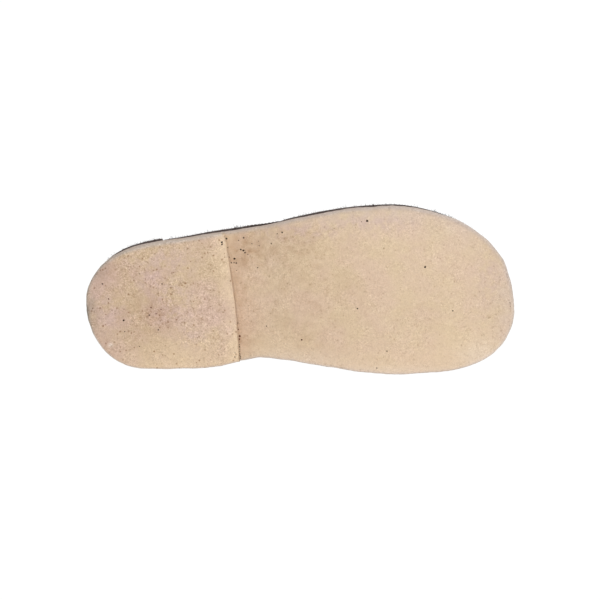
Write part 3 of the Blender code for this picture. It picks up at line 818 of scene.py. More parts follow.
def tube_faces(count, rings, sides):
    """Faces of many tubes whose rings of points follow one another, each closed by a lid at both ends."""
    each = rings * sides
    lids = np.array([np.arange(sides)[::-1], np.arange(each - sides, each)])
    return repeated(grid_faces(rings, sides, wrap=True), count, each) + repeated(lids, count, each)


def stitch_mesh(middles, runs, outs):
    """Capsules: rings of six points along each stitch's run, their radius a half ellipse of the length."""
    place = np.linspace(-1, 1, STITCH_RINGS)
    radius = STITCH_RADIUS * np.sqrt(np.clip(1 + BLUNT_END - place**2, 0, 1))
    angle = np.linspace(0, 2 * np.pi, STITCH_SIDES, endpoint=False)[None, None, :, None]
    sides = np.cross(outs, runs)
    ring = np.cos(angle) * outs[:, None, None] + np.sin(angle) * sides[:, None, None]
    core = middles[:, None] + place[None, :, None] * (STITCH_LENGTH / 2) * runs[:, None]
    points = core[:, :, None] + radius[None, :, None, None] * ring
    return points, tube_faces(len(middles), STITCH_RINGS, STITCH_SIDES)


PANEL_FACE, COUNTER_FACE = LAID_ON + QUARTER_THICKNESS, COUNTER_LAID + COUNTER_THICKNESS
seams = []
for side in SIDE_NAMES:
    seams.append(top_row(side, PANEL_FACE))
    for offset in ROW_OFFSETS:
        seams.append(edge_row(QUARTER_FRONT, side, offset, PANEL_FACE))
        seams.append(edge_row(COUNTER_FRONT, side, offset, COUNTER_FACE))
stitch_points, stitch_faces = stitch_mesh(*(np.concatenate(part) for part in zip(*seams)))
make_piece("stitching", stitch_points, stitch_faces, [waxed_thread()], "lace")

# Fuzz: loose fibres of the nap, standing in small tufts on the outer side and thinly all over the suede.
# Each is a fine tapered hair, rooted in the outermost panel; none grows where the shoe lies on the floor.

FUZZ_TUFTS = table(
    "share up reach count",
    (0.402, 0.10, 0.005, 90),
    (0.415, 0.10, 0.004, 50),
    (0.345, 0.10, 0.006, 40),
    (0.300, 0.12, 0.030, 40),
    (0.560, 0.12, 0.060, 60),
    (0.700, 0.12, 0.060, 60),
    (0.815, 0.12, 0.006, 50),
    (0.840, 0.12, 0.005, 50),
    (0.891, 0.12, 0.010, 60),
)
FUZZ_ALL_OVER, FUZZ_ROOT, FUZZ_RADIUS, FUZZ_TAPER, FUZZ_CURL = 4200, 0.1, 0.08, 0.7, 0.5
FUZZ_SHORT, FUZZ_LONG, FUZZ_LEAN = 0.35, 1.05, 0.55
FUZZ_RINGS, FUZZ_SIDES, EYELET_CLEAR, FLOOR_CLEAR = 3, 3, 3.8, 0.002
FUZZ_SHARES, FUZZ_RISES, FUZZ_SCATTER, FUZZ_SEED = (0.003, 0.997), (0.02, 0.97), 0.5, 5
HAIR_ACROSS = (0.31, 0.57, 0.76)

fuzz_random = np.random.default_rng(FUZZ_SEED)
tuft = np.repeat(FUZZ_TUFTS, FUZZ_TUFTS["count"].astype(int))
loose_share = fuzz_random.uniform(*FUZZ_SHARES, FUZZ_ALL_OVER)
tuft_share = tuft["share"] + tuft["reach"] * fuzz_random.normal(0, 1, len(tuft))
loose_up = fuzz_random.uniform(*FUZZ_RISES, FUZZ_ALL_OVER)
tuft_up = np.abs(tuft["up"] * (1 + FUZZ_SCATTER * fuzz_random.normal(0, 1, len(tuft))))
loose_side = fuzz_random.choice([LATERAL, MEDIAL], FUZZ_ALL_OVER)
fuzz_along = along_of(np.concatenate([loose_share, tuft_share]))
fuzz_up = np.concatenate([loose_up, tuft_up])
fuzz_turn = np.concatenate([loose_side, 0 * tuft_up + LATERAL]) * fuzz_along
fuzz_rise = fuzz_up * top_rise(fuzz_turn)
fuzz_face = np.where(fuzz_along < front_edge(QUARTER_FRONT, fuzz_up), PANEL_FACE, 0.0)
fuzz_face = np.where(fuzz_along < front_edge(COUNTER_FRONT, fuzz_up), COUNTER_FACE, fuzz_face)
fuzz_roots = raised(fuzz_turn, fuzz_rise, fuzz_face - FUZZ_ROOT)
clear = (from_holes(fuzz_roots) > EYELET_CLEAR) & (lay(fuzz_roots)[:, 2] > FLOOR_CLEAR)
fuzz_roots = fuzz_roots[clear]
fuzz_lean = FUZZ_LEAN * fuzz_random.normal(0, 1, fuzz_roots.shape)
fuzz_way = unit(outward_of(fuzz_turn, fuzz_rise)[clear] + fuzz_lean)
fuzz_length = fuzz_random.uniform(FUZZ_SHORT, FUZZ_LONG, (len(fuzz_roots), 1))
fuzz_curl = FUZZ_CURL * fuzz_random.normal(0, 1, fuzz_roots.shape)


def hair_mesh(roots, ways, lengths, curls):
    """Tapered hairs: three rings of three points, along the way out and bent aside by the curl times the
    squared share of the length."""
    s = np.linspace(0, 1, FUZZ_RINGS)[None, :, None]
    core = roots[:, None] + lengths[:, None] * (s * ways[:, None] + s**2 * curls[:, None])
    first = unit(np.cross(ways, HAIR_ACROSS))
    second = np.cross(ways, first)
    angle = np.linspace(0, 2 * np.pi, FUZZ_SIDES, endpoint=False)[None, None, :, None]
    ring = np.cos(angle) * first[:, None, None] + np.sin(angle) * second[:, None, None]
    points = core[:, :, None] + FUZZ_RADIUS * (1 - FUZZ_TAPER * s)[..., None] * ring
    return points, tube_faces(len(roots), FUZZ_RINGS, FUZZ_SIDES)


make_piece("suede_fuzz", *hair_mesh(fuzz_roots, fuzz_way, fuzz_length, fuzz_curl), [suede], "suede")

# Eyelets: rolled rings of dark metal, three in each facing. Each is a short tube pressed through quarter
# and lining, with a domed flange on the outer face.

EYELET_PROFILE = table(
    "radius height",
    (1.70, -3.0),
    (2.05, -3.0),
    (2.05, 0.25),
    (3.20, 0.25),
    (3.40, 0.32),
    (3.30, 0.52),
    (2.90, 0.68),
    (2.40, 0.74),
    (2.00, 0.64),
    (1.76, 0.36),
    (1.70, 0.00),
)
EYELET_SIDES, LENGTHWISE = 40, (1.0, 0.0, 0.0)
METAL_DARK, METAL_RUBBED = srgb(72, 66, 62), srgb(128, 116, 104)


def worn_metal():
    """Dark finished metal, rubbed brighter in fine scratches."""
    made, tree, shader = new_material("eyelet_metal", Metallic=0.9)
    scratch = noise(tree, in_millimetres(tree), scale=3.0, detail=4.0, roughness=0.7)
    color = blend(tree, between(tree, scratch, low=0.45, high=0.75), METAL_DARK, METAL_RUBBED)
    dulled = between(tree, scratch, low=0.3, high=0.7, to=(0.5, 0.34))
    fill(tree, shader, {"Base Color": color, "Roughness": dulled})
    return made


metal = worn_metal()
radius, height = EYELET_PROFILE["radius"][:, None, None], EYELET_PROFILE["height"][:, None]
angle = np.linspace(0, 2 * np.pi, EYELET_SIDES, endpoint=False)
for side, label in SIDE_NAMES.items():
    for number, x in enumerate(EYELET_STATIONS, 1):
        centre, out = facing_place(side, x, EYELET_FROM_EDGE, PANEL_FACE)
        first = unit(np.cross(out, LENGTHWISE))
        around = np.cos(angle)[:, None] * first + np.sin(angle)[:, None] * np.cross(out, first)
        rings = centre + radius * around + (height * out)[:, None]
        closed = np.concatenate([rings, rings[:1]])
        make_piece(
            f"rolled_eyelet_{label}_{number}",
            closed,
            grid_faces(len(closed), EYELET_SIDES, wrap=True)[:, ::-1],
            [metal],
            "eyelet",
            f"eyelet_{label}_{number}",
        )

# Lace: one round cotton lace, bar-laced through the six eyelets. Its bars cross the throat on top, its
# other runs lie flattened between facing and tongue, and its two ends stop under the top eyelets.

LACE_RADIUS, LACE_SIDES, LACE_STEPS = 1.2, 12, 420
BAR_BEND = table(
    "from_edge height",
    (6.5, -0.7),
    (6.5, 2.0),
    (6.1, 3.2),
    (4.5, 3.8),
    (2.4, 3.5),
    (0.0, 3.1),
)
HIDDEN_RUNS = {
    "first": table("x from_edge", (91.0, 6.5), (95.0, 6.5), (99.5, 6.5)),
    "second": table("x from_edge", (103.5, 6.5), (107.0, 6.5), (111.0, 6.5)),
    "long": table("x from_edge", (110.5, 8.5), (106.0, 8.5), (101.0, 10.0), (96.0, 10.0), (92.5, 7.5)),
    "last": table("x from_edge", (92.0, 6.5), (94.5, 6.5)),
}
BAR_CROWN, HIDDEN_DEPTH, HIDDEN_FLAT, FULL_ROUND = 0.5, -2.45, 0.42, 1.0
LACE_COLOR, LACE_SHADE, LACE_STRANDS = srgb(72, 61, 57), srgb(45, 37, 35), 6.0


def lace_row(side, x, from_edge, height, roundness):
    """One control row of the lace: its place, the way out of the face there and its roundness."""
    return np.concatenate([*facing_place(side, x, from_edge, height), [roundness]])


def bar_controls(x, start):
    """Control rows of one bar, from the starting side over to the other."""
    rows = {side: [lace_row(side, x, *bend, FULL_ROUND) for bend in BAR_BEND] for side in SIDE_NAMES}
    crown = (rows[start][-1] + rows[-start][-1]) / 2
    crown[2] += BAR_CROWN
    return [*rows[start], crown, *rows[-start][::-1]]


def hidden_controls(side, run):
    """Control rows of a flattened run under the facing."""
    return [lace_row(side, *place, HIDDEN_DEPTH, HIDDEN_FLAT) for place in HIDDEN_RUNS[run]]


def catmull_rom(rows, count):
    """Evenly numbered points on the cubic curve through the rows whose slope at each row is half the
    step from the row before to the row after."""
    rows = np.array(rows)
    padded = np.vstack([2 * rows[0] - rows[1], rows, 2 * rows[-1] - rows[-2]])
    place = np.linspace(0, len(rows) - 1, count)
    i = np.minimum(place.astype(int), len(rows) - 2)
    t = (place - i)[:, None]
    a, b, c, d = (padded[i + k] for k in range(4))
    square, cube = 2 * a - 5 * b + 4 * c - d, 3 * b - a - 3 * c + d
    return 0.5 * (2 * b + (c - a) * t + square * t**2 + cube * t**3)


def braided_cotton():
    """Braided round lace: two families of slanted strands from the lace's own length and girth."""
    made, tree, shader = new_material("lace_cord", Roughness=0.85, Specular_IOR_Level=0.25)
    uv = add_node(tree, "ShaderNodeUVMap", settings={"uv_map": "along_and_round"}).outputs["UV"]
    parts = add_node(tree, "ShaderNodeSeparateXYZ", uv)
    strands = []
    for slant in (LACE_STRANDS, -LACE_STRANDS):
        phase = math_node(tree, "MULTIPLY_ADD", parts.outputs["Y"], slant, parts.outputs["X"])
        strands.append(math_node(tree, "PINGPONG", phase, 0.5))
    weave = math_node(tree, "MAXIMUM", *strands)
    color = blend(tree, between(tree, weave, low=0.2, high=0.5), LACE_SHADE, LACE_COLOR)
    tree.links.new(color, shader.inputs["Base Color"])
    bump(tree, shader, weave, strength=0.6, distance=0.0003)
    return made


front_x, middle_x, top_x = EYELET_STATIONS
route = [
    *hidden_controls(MEDIAL, "first"),
    *bar_controls(middle_x, MEDIAL),
    *hidden_controls(LATERAL, "second"),
    *bar_controls(front_x, LATERAL),
    *hidden_controls(MEDIAL, "long"),
    *bar_controls(top_x, MEDIAL),
    *hidden_controls(LATERAL, "last"),
]
lace = catmull_rom(route, LACE_STEPS)
lace_run = unit(np.gradient(lace[:, :3], axis=0))
lace_side = unit(np.cross(lace_run, lace[:, 3:6]))
lace_out = np.cross(lace_side, lace_run)
girth = np.linspace(0, 2 * np.pi, LACE_SIDES, endpoint=False)[None, :, None]
flat = np.clip(lace[:, 6], HIDDEN_FLAT, 1)[:, None, None]
lace_thick = np.cos(girth) * flat * lace_out[:, None]
lace_wide = np.sin(girth) * (2 - flat) ** 0.5 * lace_side[:, None]
lace_piece = make_piece(
    "lace",
    lace[:, None, :3] + LACE_RADIUS * (lace_thick + lace_wide),
    tube_faces(1, LACE_STEPS, LACE_SIDES),
    [braided_cotton()],
    "lace",
    "lace_bar_1",
    "lace_bar_2",
    "lace_bar_3",
)
lace_length = np.concatenate([[0], np.cumsum(np.linalg.norm(np.diff(lace[:, :3], axis=0), axis=1))])
corner = np.empty(len(lace_piece.data.loops), np.int32)
lace_piece.data.loops.foreach_get("vertex_index", corner)
uv = lace_piece.data.uv_layers.new(name="along_and_round")
lace_uv = np.stack([lace_length[corner // LACE_SIDES], (corner % LACE_SIDES) / LACE_SIDES], -1)
uv.data.foreach_set("uv", lace_uv.ravel())

# Outsole: one full-length sheet of natural crepe rubber, cut to the sole's outline, its lower edge worn
# round. Crepe is crumbly and mottled, cream to rose, and grit sticks to it. It is glued under the upper.

OUTSOLE_STATIONS, OUTSOLE_CELLS, OUTSOLE_ROUNDINGS = 421, 140, (2.0, 0.8)
CREAM, ROSE = srgb(215, 192, 161), srgb(216, 190, 166)
MASK_TINTS = {
    "bloom": srgb(201, 174, 168),
    "pale": srgb(230, 205, 173),
    # soil: dirt, and on the outsole just before the breast also painted shadow of the heel's step
    "soil": srgb(173, 140, 109),
    "cut": srgb(208, 190, 179),
    # painted light: a pale tint on the crepe's side wall, standing for light where its rounded edge turns
    # away
    "chalk": srgb(229, 212, 197),
    # dirt and painted shade: a grey-brown darkening of the heel's back edge and the rounding it turns over
    "grime": srgb(146, 134, 120),
}
CRUMB_TINT, ROUGH_PATCHES, CRUMB_SCALES = (0.85, 1.0, 1.15), (0.6, 1.35), (0.33, 0.9, 1.9)
CRUMB_SHADES, CRUMB_HEIGHTS = (0.25, 0.5, 0.95, 1.5, -1.8), (0.3, 0.35, 0.15, 0.4, -0.8)
SPECK_SPREAD, SPECK_FEWEST, SPECK_RADIUS, SPECK_TINT = 0.80, 0.72, 0.56, (-0.8, -1.0, -1.15)
OUTSOLE_GRAIN, OUTSOLE_SPECKS, RUBBED_SMOOTH = 0.085, 0.22, 0.45
RELIEF = table("size height", (7.0, 0.16), (2.6, 0.10), (1.3, 0.07))
LATTICE, CREPE_WELD = 32, 0.0000002


def lattice_noise(points, size, seed):
    """Smooth random values from -1 to 1: random numbers on a cubic lattice, eased between its corners."""
    lattice = np.random.default_rng(seed).uniform(-1, 1, (LATTICE, LATTICE, LATTICE))
    place = points / size
    cell = np.floor(place).astype(int)
    t = place - cell
    t = t * t * (3 - 2 * t)
    total = np.zeros(len(points))
    for corner in np.ndindex(2, 2, 2):
        weight = np.prod(np.where(np.array(corner) == 1, t, 1 - t), axis=1)
        i, j, k = np.moveaxis((cell + np.array(corner)) % LATTICE, -1, 0)
        total += weight * lattice[i, j, k]
    return total


def vertex_array(mesh, key):
    """One three-number property of all the mesh's vertices."""
    values = np.empty(len(mesh.vertices) * 3)
    mesh.vertices.foreach_get(key, values)
    return values.reshape(-1, 3)


def crumble(piece, seed):
    """Moves each point along its normal by three sizes of smooth noise, the crumbs of the crepe."""
    places, normals = vertex_array(piece.data, "co"), vertex_array(piece.data, "normal")
    points = stand(places)
    height = 0.0
    for k, (size, most) in enumerate(RELIEF):
        height = height + most * lattice_noise(points, size, seed + k)
    piece.data.vertices.foreach_set("co", (places + MM * height[:, None] * normals).ravel())
    piece.data.update()


def patchy(points, mean, swing, size, seed):
    """A mean plus its swing times smooth noise, which breaks up a mask."""
    return mean + swing * lattice_noise(points, size, seed)


def paint(piece, **masks):
    """Stores masks for the material, one number for each vertex."""
    for name, values in masks.items():
        layer = piece.data.attributes.new(name, "FLOAT", "POINT")
        layer.data.foreach_set("value", np.clip(values, 0, 1).astype(np.float32))


def marks(*rows):
    """A table of soft spots on the tread."""
    return table("x y reach_x reach_y amount", *rows)


def spots(points, places):
    """Sum of soft round spots: each falls off as e to the minus squared distance over its own reach."""
    x, y = points[:, 0, None], points[:, 1, None]
    distance = ((x - places["x"]) / places["reach_x"]) ** 2 + ((y - places["y"]) / places["reach_y"]) ** 2
    return (places["amount"] * np.exp(-distance)).sum(axis=1)


def weighted(tree, *terms):
    """Sum of values, each times its own weight."""
    total = 0.0
    for weight, value in terms:
        total = math_node(tree, "MULTIPLY_ADD", value, weight, total)
    return total


def crepe_group():
    """Node group for crepe. Drift wanders between the two body colours over centimetres, Blotch over a
    few millimetres. Shade is one plus Grain times the crumbs: coarse, middle and fine noise around zero,
    plus pale flecks and minus dark dents, both cut from noise by narrow limits; it is stronger in blue
    than in red, so dents turn brown and flecks cream, and rough and smooth patches take turns. Specks are
    small dark dots, one in some of the cells of a random mosaic, each as wide as its cell's own number
    says. Height is the crumbs' relief."""
    tree = bpy.data.node_groups.new("crepe_crumb", "ShaderNodeTree")
    for name in ("Grain", "Specks"):
        tree.interface.new_socket(name=name, in_out="INPUT", socket_type="NodeSocketFloat")
    for name, kind in (("Drift", "Float"), ("Blotch", "Float"), ("Shade", "Vector"), ("Height", "Float")):
        tree.interface.new_socket(name=name, in_out="OUTPUT", socket_type=f"NodeSocket{kind}")
    given, result = tree.nodes.new("NodeGroupInput"), tree.nodes.new("NodeGroupOutput")
    place = in_millimetres(tree)
    crumb = [noise(tree, place, scale) for scale in CRUMB_SCALES]
    parts = [between(tree, value, low=0.3, high=0.7, to=(-1.0, 1.0)) for value in crumb]
    fleck = noise(tree, place, scale=0.78, detail=1.0, Distortion=1.6)
    dent = noise(tree, place, scale=0.69, detail=1.0, Distortion=0.6)
    parts += [between(tree, fleck, low=0.60, high=0.69), between(tree, dent, low=0.66, high=0.76)]
    crumbs = weighted(tree, *zip(CRUMB_SHADES, parts))
    rough = between(tree, noise(tree, place, scale=0.11), low=0.35, high=0.65, to=ROUGH_PATCHES)
    grain = math_node(tree, "MULTIPLY", crumbs, rough)
    grain = math_node(tree, "MULTIPLY", grain, given.outputs["Grain"])
    shade = vector_math(tree, "MULTIPLY_ADD", grain, CRUMB_TINT, (1.0, 1.0, 1.0))
    cell = add_node(tree, "ShaderNodeTexVoronoi", Vector=place, Scale=SPECK_SPREAD)
    number = add_node(tree, "ShaderNodeSeparateColor", cell.outputs["Color"]).outputs["Red"]
    radius = between(tree, number, low=SPECK_FEWEST, high=1.0, to=(0.0, SPECK_RADIUS))
    speck = between(tree, cell.outputs["Distance"], low=radius, high=0.0)
    speck = math_node(tree, "MULTIPLY", speck, given.outputs["Specks"])
    drift = noise(tree, place, scale=0.05, detail=3.0, roughness=0.6)
    blotch = noise(tree, place, scale=0.24, detail=3.0, roughness=0.6)
    outputs = {
        "Drift": between(tree, drift, low=0.36, high=0.66),
        "Blotch": between(tree, blotch, low=0.38, high=0.62),
        "Shade": vector_math(tree, "MULTIPLY_ADD", speck, SPECK_TINT, shade),
        "Height": weighted(tree, *zip(CRUMB_HEIGHTS, parts)),
    }
    fill(tree, result, outputs)
    return tree


crepe_crumb = crepe_group()


def crepe_rubber(name, body, rose, grain, specks):
    """Crepe with the piece's own masks: rose-grey bloom in blotches, pale rubbed places, soil (and before
    the breast a painted shadow), the greyed edge, painted light on the side wall, and dirt with painted
    shade at the heel's back, all under the same crumbs, which are fainter where the crepe is rubbed."""
    made, tree, shader = new_material(name, Roughness=0.82, Specular_IOR_Level=0.3)
    masks = {
        mask: add_node(tree, "ShaderNodeAttribute", settings={"attribute_name": mask}).outputs["Fac"]
        for mask in MASK_TINTS
    }
    worn = math_node(tree, "MULTIPLY_ADD", masks["pale"], -RUBBED_SMOOTH * grain, grain)
    group = {"node_tree": crepe_crumb}
    crumb = add_node(tree, "ShaderNodeGroup", settings=group, Grain=worn, Specks=specks)
    masks["bloom"] = math_node(tree, "MULTIPLY", masks["bloom"], crumb.outputs["Blotch"])
    color = blend(tree, crumb.outputs["Drift"], body, rose)
    for mask, tint in MASK_TINTS.items():
        color = blend(tree, masks[mask], color, tint)
    color = vector_math(tree, "MULTIPLY", color, crumb.outputs["Shade"])
    tree.links.new(color, shader.inputs["Base Color"])
    bump(tree, shader, crumb.outputs["Height"], strength=0.5, distance=0.0003)
    return made


BREAST_MIDDLE, BREAST_SLANT, BREAST_BOW = 65.5, 3.3, 1.1
BREAST_HALF_WIDTH = 30.0


def breast_line(y):
    """Place of the heel's breast along the shoe: slanted and slightly bowed across the sole."""
    across = np.clip(y / BREAST_HALF_WIDTH, -1, 1)
    return BREAST_MIDDLE + BREAST_SLANT * across - BREAST_BOW * across**2


EDGE_FLAT, EDGE_TILT = 0.995, 0.5


def worn_edge(piece):
    """One on the sheet's side, fading to nothing where its lower edge turns flat, by the normal's tilt."""
    level = np.abs(vertex_array(piece.data, "normal") @ up_axis)
    return np.clip((EDGE_FLAT - level) / EDGE_TILT, 0, 1)


LATERAL_CUT, CUT_FADE, EDGE_GREYED = -10.0, 14.0, 0.6


def greyed(points):
    """One on the outer half of the sole, where the edge is greyed, fading to nothing on the inner half."""
    return np.clip((LATERAL_CUT + CUT_FADE - points[:, 1]) / CUT_FADE, 0, 1)


OUTSOLE_SOIL_AND_SHADOW = marks(
    (70.0, -24.0, 7.0, 8.0, 0.45),
    (84.0, -26.0, 20.0, 9.0, 0.34),
    (70.0, 19.0, 4.0, 7.0, 0.32),
    # Just before the breast: painted shadow of the heel's step, with soil.
    (67.0, -8.0, 4.0, 14.0, 0.24),
    (88.0, -2.0, 30.0, 34.0, 0.30),
    (96.0, 17.0, 8.0, 6.0, 0.14),
    (118.0, -6.0, 10.0, 8.0, 0.10),
    (150.0, 6.0, 9.0, 7.0, 0.08),
    (183.0, 0.0, 8.0, 22.0, 0.10),
)
OUTSOLE_BLOOM = marks(
    (92.0, -31.0, 20.0, 4.0, 0.60),
    (125.0, -36.0, 22.0, 5.0, 0.50),
    (178.0, -12.0, 6.0, 18.0, 0.40),
)
OUTSOLE_PALE = marks(
    (132.0, 31.0, 44.0, 9.0, 0.45),
    (166.0, 22.0, 18.0, 12.0, 0.30),
    (83.0, 22.0, 15.0, 8.0, 0.45),
)
# Painted light along the inner edge of the tread, lightening it as if lit.
OUTSOLE_PAINTED_LIGHT = marks(
    (130.0, 32.0, 46.0, 3.5, 0.45),
    (90.0, 26.0, 22.0, 4.5, 0.30),
    (174.0, 25.0, 10.0, 7.0, 0.40),
)
OUTSOLE_CUT = marks(
    (187.0, -2.0, 5.0, 24.0, 0.45),
    (168.0, -33.0, 16.0, 7.0, 0.35),
    (128.0, -40.0, 34.0, 6.0, 0.45),
)
GATHERED_REACH, GATHERED_MOST = 0.9, 0.40
OUTSOLE_PATCHES = {"soil": (0.75, 0.5, 2.0, 31), "cut": (0.75, 0.35, 4.0, 32)}

outsole_along = np.linspace(0, 1, OUTSOLE_STATIONS)
outsole_shape = sheet_section(OUTSOLE_THICKNESS, *OUTSOLE_ROUNDINGS, OUTSOLE_CELLS)
outsole = make_piece(
    "crepe_outsole",
    sole_sheet({LATERAL: outsole_along, MEDIAL: outsole_along}, outsole_shape, underside),
    grid_faces(OUTSOLE_STATIONS, len(outsole_shape[0]), wrap=True),
    [crepe_rubber("crepe_outsole", CREAM, ROSE, OUTSOLE_GRAIN, OUTSOLE_SPECKS)],
    "crepe",
    "outsole",
    weld=CREPE_WELD,
)
outsole_edge = worn_edge(outsole)
crumble(outsole, seed=11)
outsole_at = stand(vertex_array(outsole.data, "co"))
from_breast = outsole_at[:, 0] - breast_line(outsole_at[:, 1])
lower_half = np.clip(outsole_at[:, 1] / BREAST_HALF_WIDTH, 0, 1)
gathered = np.exp(-((from_breast / GATHERED_REACH) ** 2)) * (GATHERED_MOST * lower_half)
outsole_soil_and_shadow = spots(outsole_at, OUTSOLE_SOIL_AND_SHADOW) + gathered
# Painted light on the side wall: full on the inner edge, less on the outer, for light the rounded edge
# loses.
outsole_chalk = outsole_edge * (1 - EDGE_GREYED * greyed(outsole_at))
outsole_cut = outsole_edge * greyed(outsole_at) + spots(outsole_at, OUTSOLE_CUT)
paint(
    outsole,
    soil=outsole_soil_and_shadow * patchy(outsole_at, *OUTSOLE_PATCHES["soil"]),
    bloom=spots(outsole_at, OUTSOLE_BLOOM),
    pale=spots(outsole_at, OUTSOLE_PALE),
    chalk=outsole_chalk + spots(outsole_at, OUTSOLE_PAINTED_LIGHT),
    cut=outsole_cut * patchy(outsole_at, *OUTSOLE_PATCHES["cut"]),
)

# Heel: a crepe lift glued under the outsole, ending in a slanted, slightly bowed breast. It is the dirtier
# part of the tread, with rose-grey bloom, a back edge darkened by dirt and by painted shade, painted light
# on its side wall, and a rubbed pale strip behind the breast.

HEEL_HEIGHT, HEEL_STATIONS, HEEL_CELLS = 6.3, 161, 110
HEEL_ROUNDINGS, BREAST_ROUNDING, BREAST_STEPS, BREAST_ROWS = (1.6, 0.3), 0.7, 8, 6
HEEL_CREAM, HEEL_ROSE = srgb(203, 178, 148), srgb(202, 173, 157)
HEEL_GRAIN, HEEL_SPECKS, PALE_STRIP, PALE_FULL, PALE_MOST = 0.16, 0.65, 6.5, 1.25, 0.62
HEEL_TUCK, TUCK_REACH = 0.9, 20.0
HEEL_SOIL = marks(
    (29.0, 6.0, 9.0, 7.0, 0.42),
    (22.0, -2.0, 20.0, 16.0, 0.15),
    (12.0, -14.0, 8.0, 7.0, 0.20),
    (23.0, 18.0, 8.0, 6.0, 0.12),
    (9.0, 20.0, 6.0, 5.0, 0.22),
)
HEEL_BLOOM = marks(
    (40.0, 1.0, 9.0, 9.0, 0.70),
    (35.0, -19.0, 14.0, 6.0, 0.55),
    (47.0, 16.0, 7.0, 6.0, 0.65),
    (10.0, 5.0, 7.0, 9.0, 0.55),
    (28.0, -8.0, 10.0, 6.0, 0.40),
)
HEEL_PALE = marks(
    (38.0, 30.0, 30.0, 12.0, 0.60),
    (50.0, 6.0, 12.0, 26.0, 0.16),
)
# Darker near the back of the heel's outer side: dirt and painted shade.
HEEL_GRIME_AND_SHADE = marks((6.0, -15.0, 6.0, 8.0, 0.12))
# A small pale spot, laid on the same mask as the painted light.
HEEL_PALE_SPOT = marks((10.6, 19.1, 1.1, 0.9, 0.80))
HEEL_CUT, HEEL_GREYED = 0.2, 0.2
HEEL_PATCHES = {
    "soil": (0.75, 0.6, 1.8, 41),
    "cut": (0.75, 0.35, 4.0, 42),
    "pale": (0.85, 0.4, 3.0, 43),
    "grime": (0.8, 0.5, 3.0, 44),
}
# Along the heel's back edge: dirt and painted shade of the rounded edge.
BACK_GRIME_AND_SHADE = marks(
    (0.0, 3.0, 1.0, 16.0, 0.55),
    (1.0, 0.0, 3.5, 11.0, 0.56),
)


def from_back(points):
    """Points with x counted from the heel's back edge beside them, which has half_width's rounding."""
    moved = points.copy()
    for side, (reach, power) in HEEL_ROUND.items():
        across = np.clip(side * points[:, 1] / OUTLINE[SIDE_NAMES[side]][0], 0, 1)
        moved[:, 0] -= SOLE_LENGTH * reach * (1 - (1 - across**power) ** (1 / power))
    return moved


def heel_tuck(side, share):
    """The heel's inner edge is drawn in towards the breast, by the square of the way, to end flush with
    the waist."""
    way = np.clip(1 - (BREAST_MIDDLE + BREAST_SLANT - SOLE_LENGTH * share) / TUCK_REACH, 0, 1)
    return HEEL_TUCK * way**2 * (side == MEDIAL)


heel_s = np.linspace(0, 1, HEEL_STATIONS)
heel_shape = sheet_section(HEEL_HEIGHT, *HEEL_ROUNDINGS, HEEL_CELLS)
heel_reach = 1 - np.cos(heel_s * np.pi / 2)
heel_front = BREAST_MIDDLE - BREAST_BOW - BREAST_ROUNDING
heel_along = {
    side: along_of((heel_front + side * BREAST_SLANT) * heel_reach / SOLE_LENGTH) for side in SIDE_NAMES
}
heel_points = sole_sheet(heel_along, heel_shape, np.zeros_like, heel_tuck)
heel_points[..., 0] += BREAST_BOW * (1 - heel_shape[0] ** 2) * heel_reach[:, None]
breast_turn = np.linspace(0, np.pi / 2, BREAST_STEPS + 1)[1:]
breast_in = BREAST_ROUNDING * np.concatenate([np.sin(breast_turn), np.ones(BREAST_ROWS)])
breast_wall = np.linspace(BREAST_ROUNDING, HEEL_HEIGHT, BREAST_ROWS + 1)[1:]
breast_up = np.concatenate([BREAST_ROUNDING * (1 - np.cos(breast_turn)), breast_wall])
breast_rows = np.repeat(heel_points[-1:], len(breast_in), axis=0)
breast_rows[..., 0] += breast_in[:, None]
breast_rows[..., 2] = np.maximum(breast_rows[..., 2], breast_up[:, None])
heel_points = np.concatenate([heel_points, breast_rows])
heel = make_piece(
    "crepe_heel",
    heel_points,
    grid_faces(len(heel_points), len(heel_shape[0]), wrap=True),
    [crepe_rubber("crepe_heel", HEEL_CREAM, HEEL_ROSE, HEEL_GRAIN, HEEL_SPECKS)],
    "crepe",
    "heel",
)
heel_edge = worn_edge(heel)
crumble(heel, seed=21)
heel_at = stand(vertex_array(heel.data, "co"))
behind_breast = breast_line(heel_at[:, 1]) - heel_at[:, 0]
rubbed = np.clip(PALE_FULL - behind_breast / PALE_STRIP, 0, 1) * patchy(heel_at, *HEEL_PATCHES["pale"])
off_breast = np.clip(behind_breast / BREAST_ROUNDING - 1, 0, 1)
heel_cut = heel_edge * off_breast * patchy(heel_at, *HEEL_PATCHES["cut"])
# Painted light on the heel's side wall, as on the outsole, fading out at the breast.
heel_chalk = heel_edge * off_breast * (1 - HEEL_GREYED * greyed(heel_at))
heel_grime = spots(heel_at, HEEL_GRIME_AND_SHADE) + spots(from_back(heel_at), BACK_GRIME_AND_SHADE)
paint(
    heel,
    soil=spots(heel_at, HEEL_SOIL) * patchy(heel_at, *HEEL_PATCHES["soil"]),
    bloom=spots(heel_at, HEEL_BLOOM) * np.clip(behind_breast / (2 * PALE_STRIP), 0, 1),
    pale=PALE_MOST * rubbed + spots(heel_at, HEEL_PALE),
    cut=HEEL_CUT * heel_cut * greyed(heel_at),
    chalk=heel_chalk + spots(heel_at, HEEL_PALE_SPOT),
    grime=heel_grime * patchy(heel_at, *HEEL_PATCHES["grime"]),
)

# Grit: specks of soil and small stones pressed into the crepe, most of them beside the breast, nearly
# black or rusty. Each is a low lump with a ragged outline, half sunk into the tread.

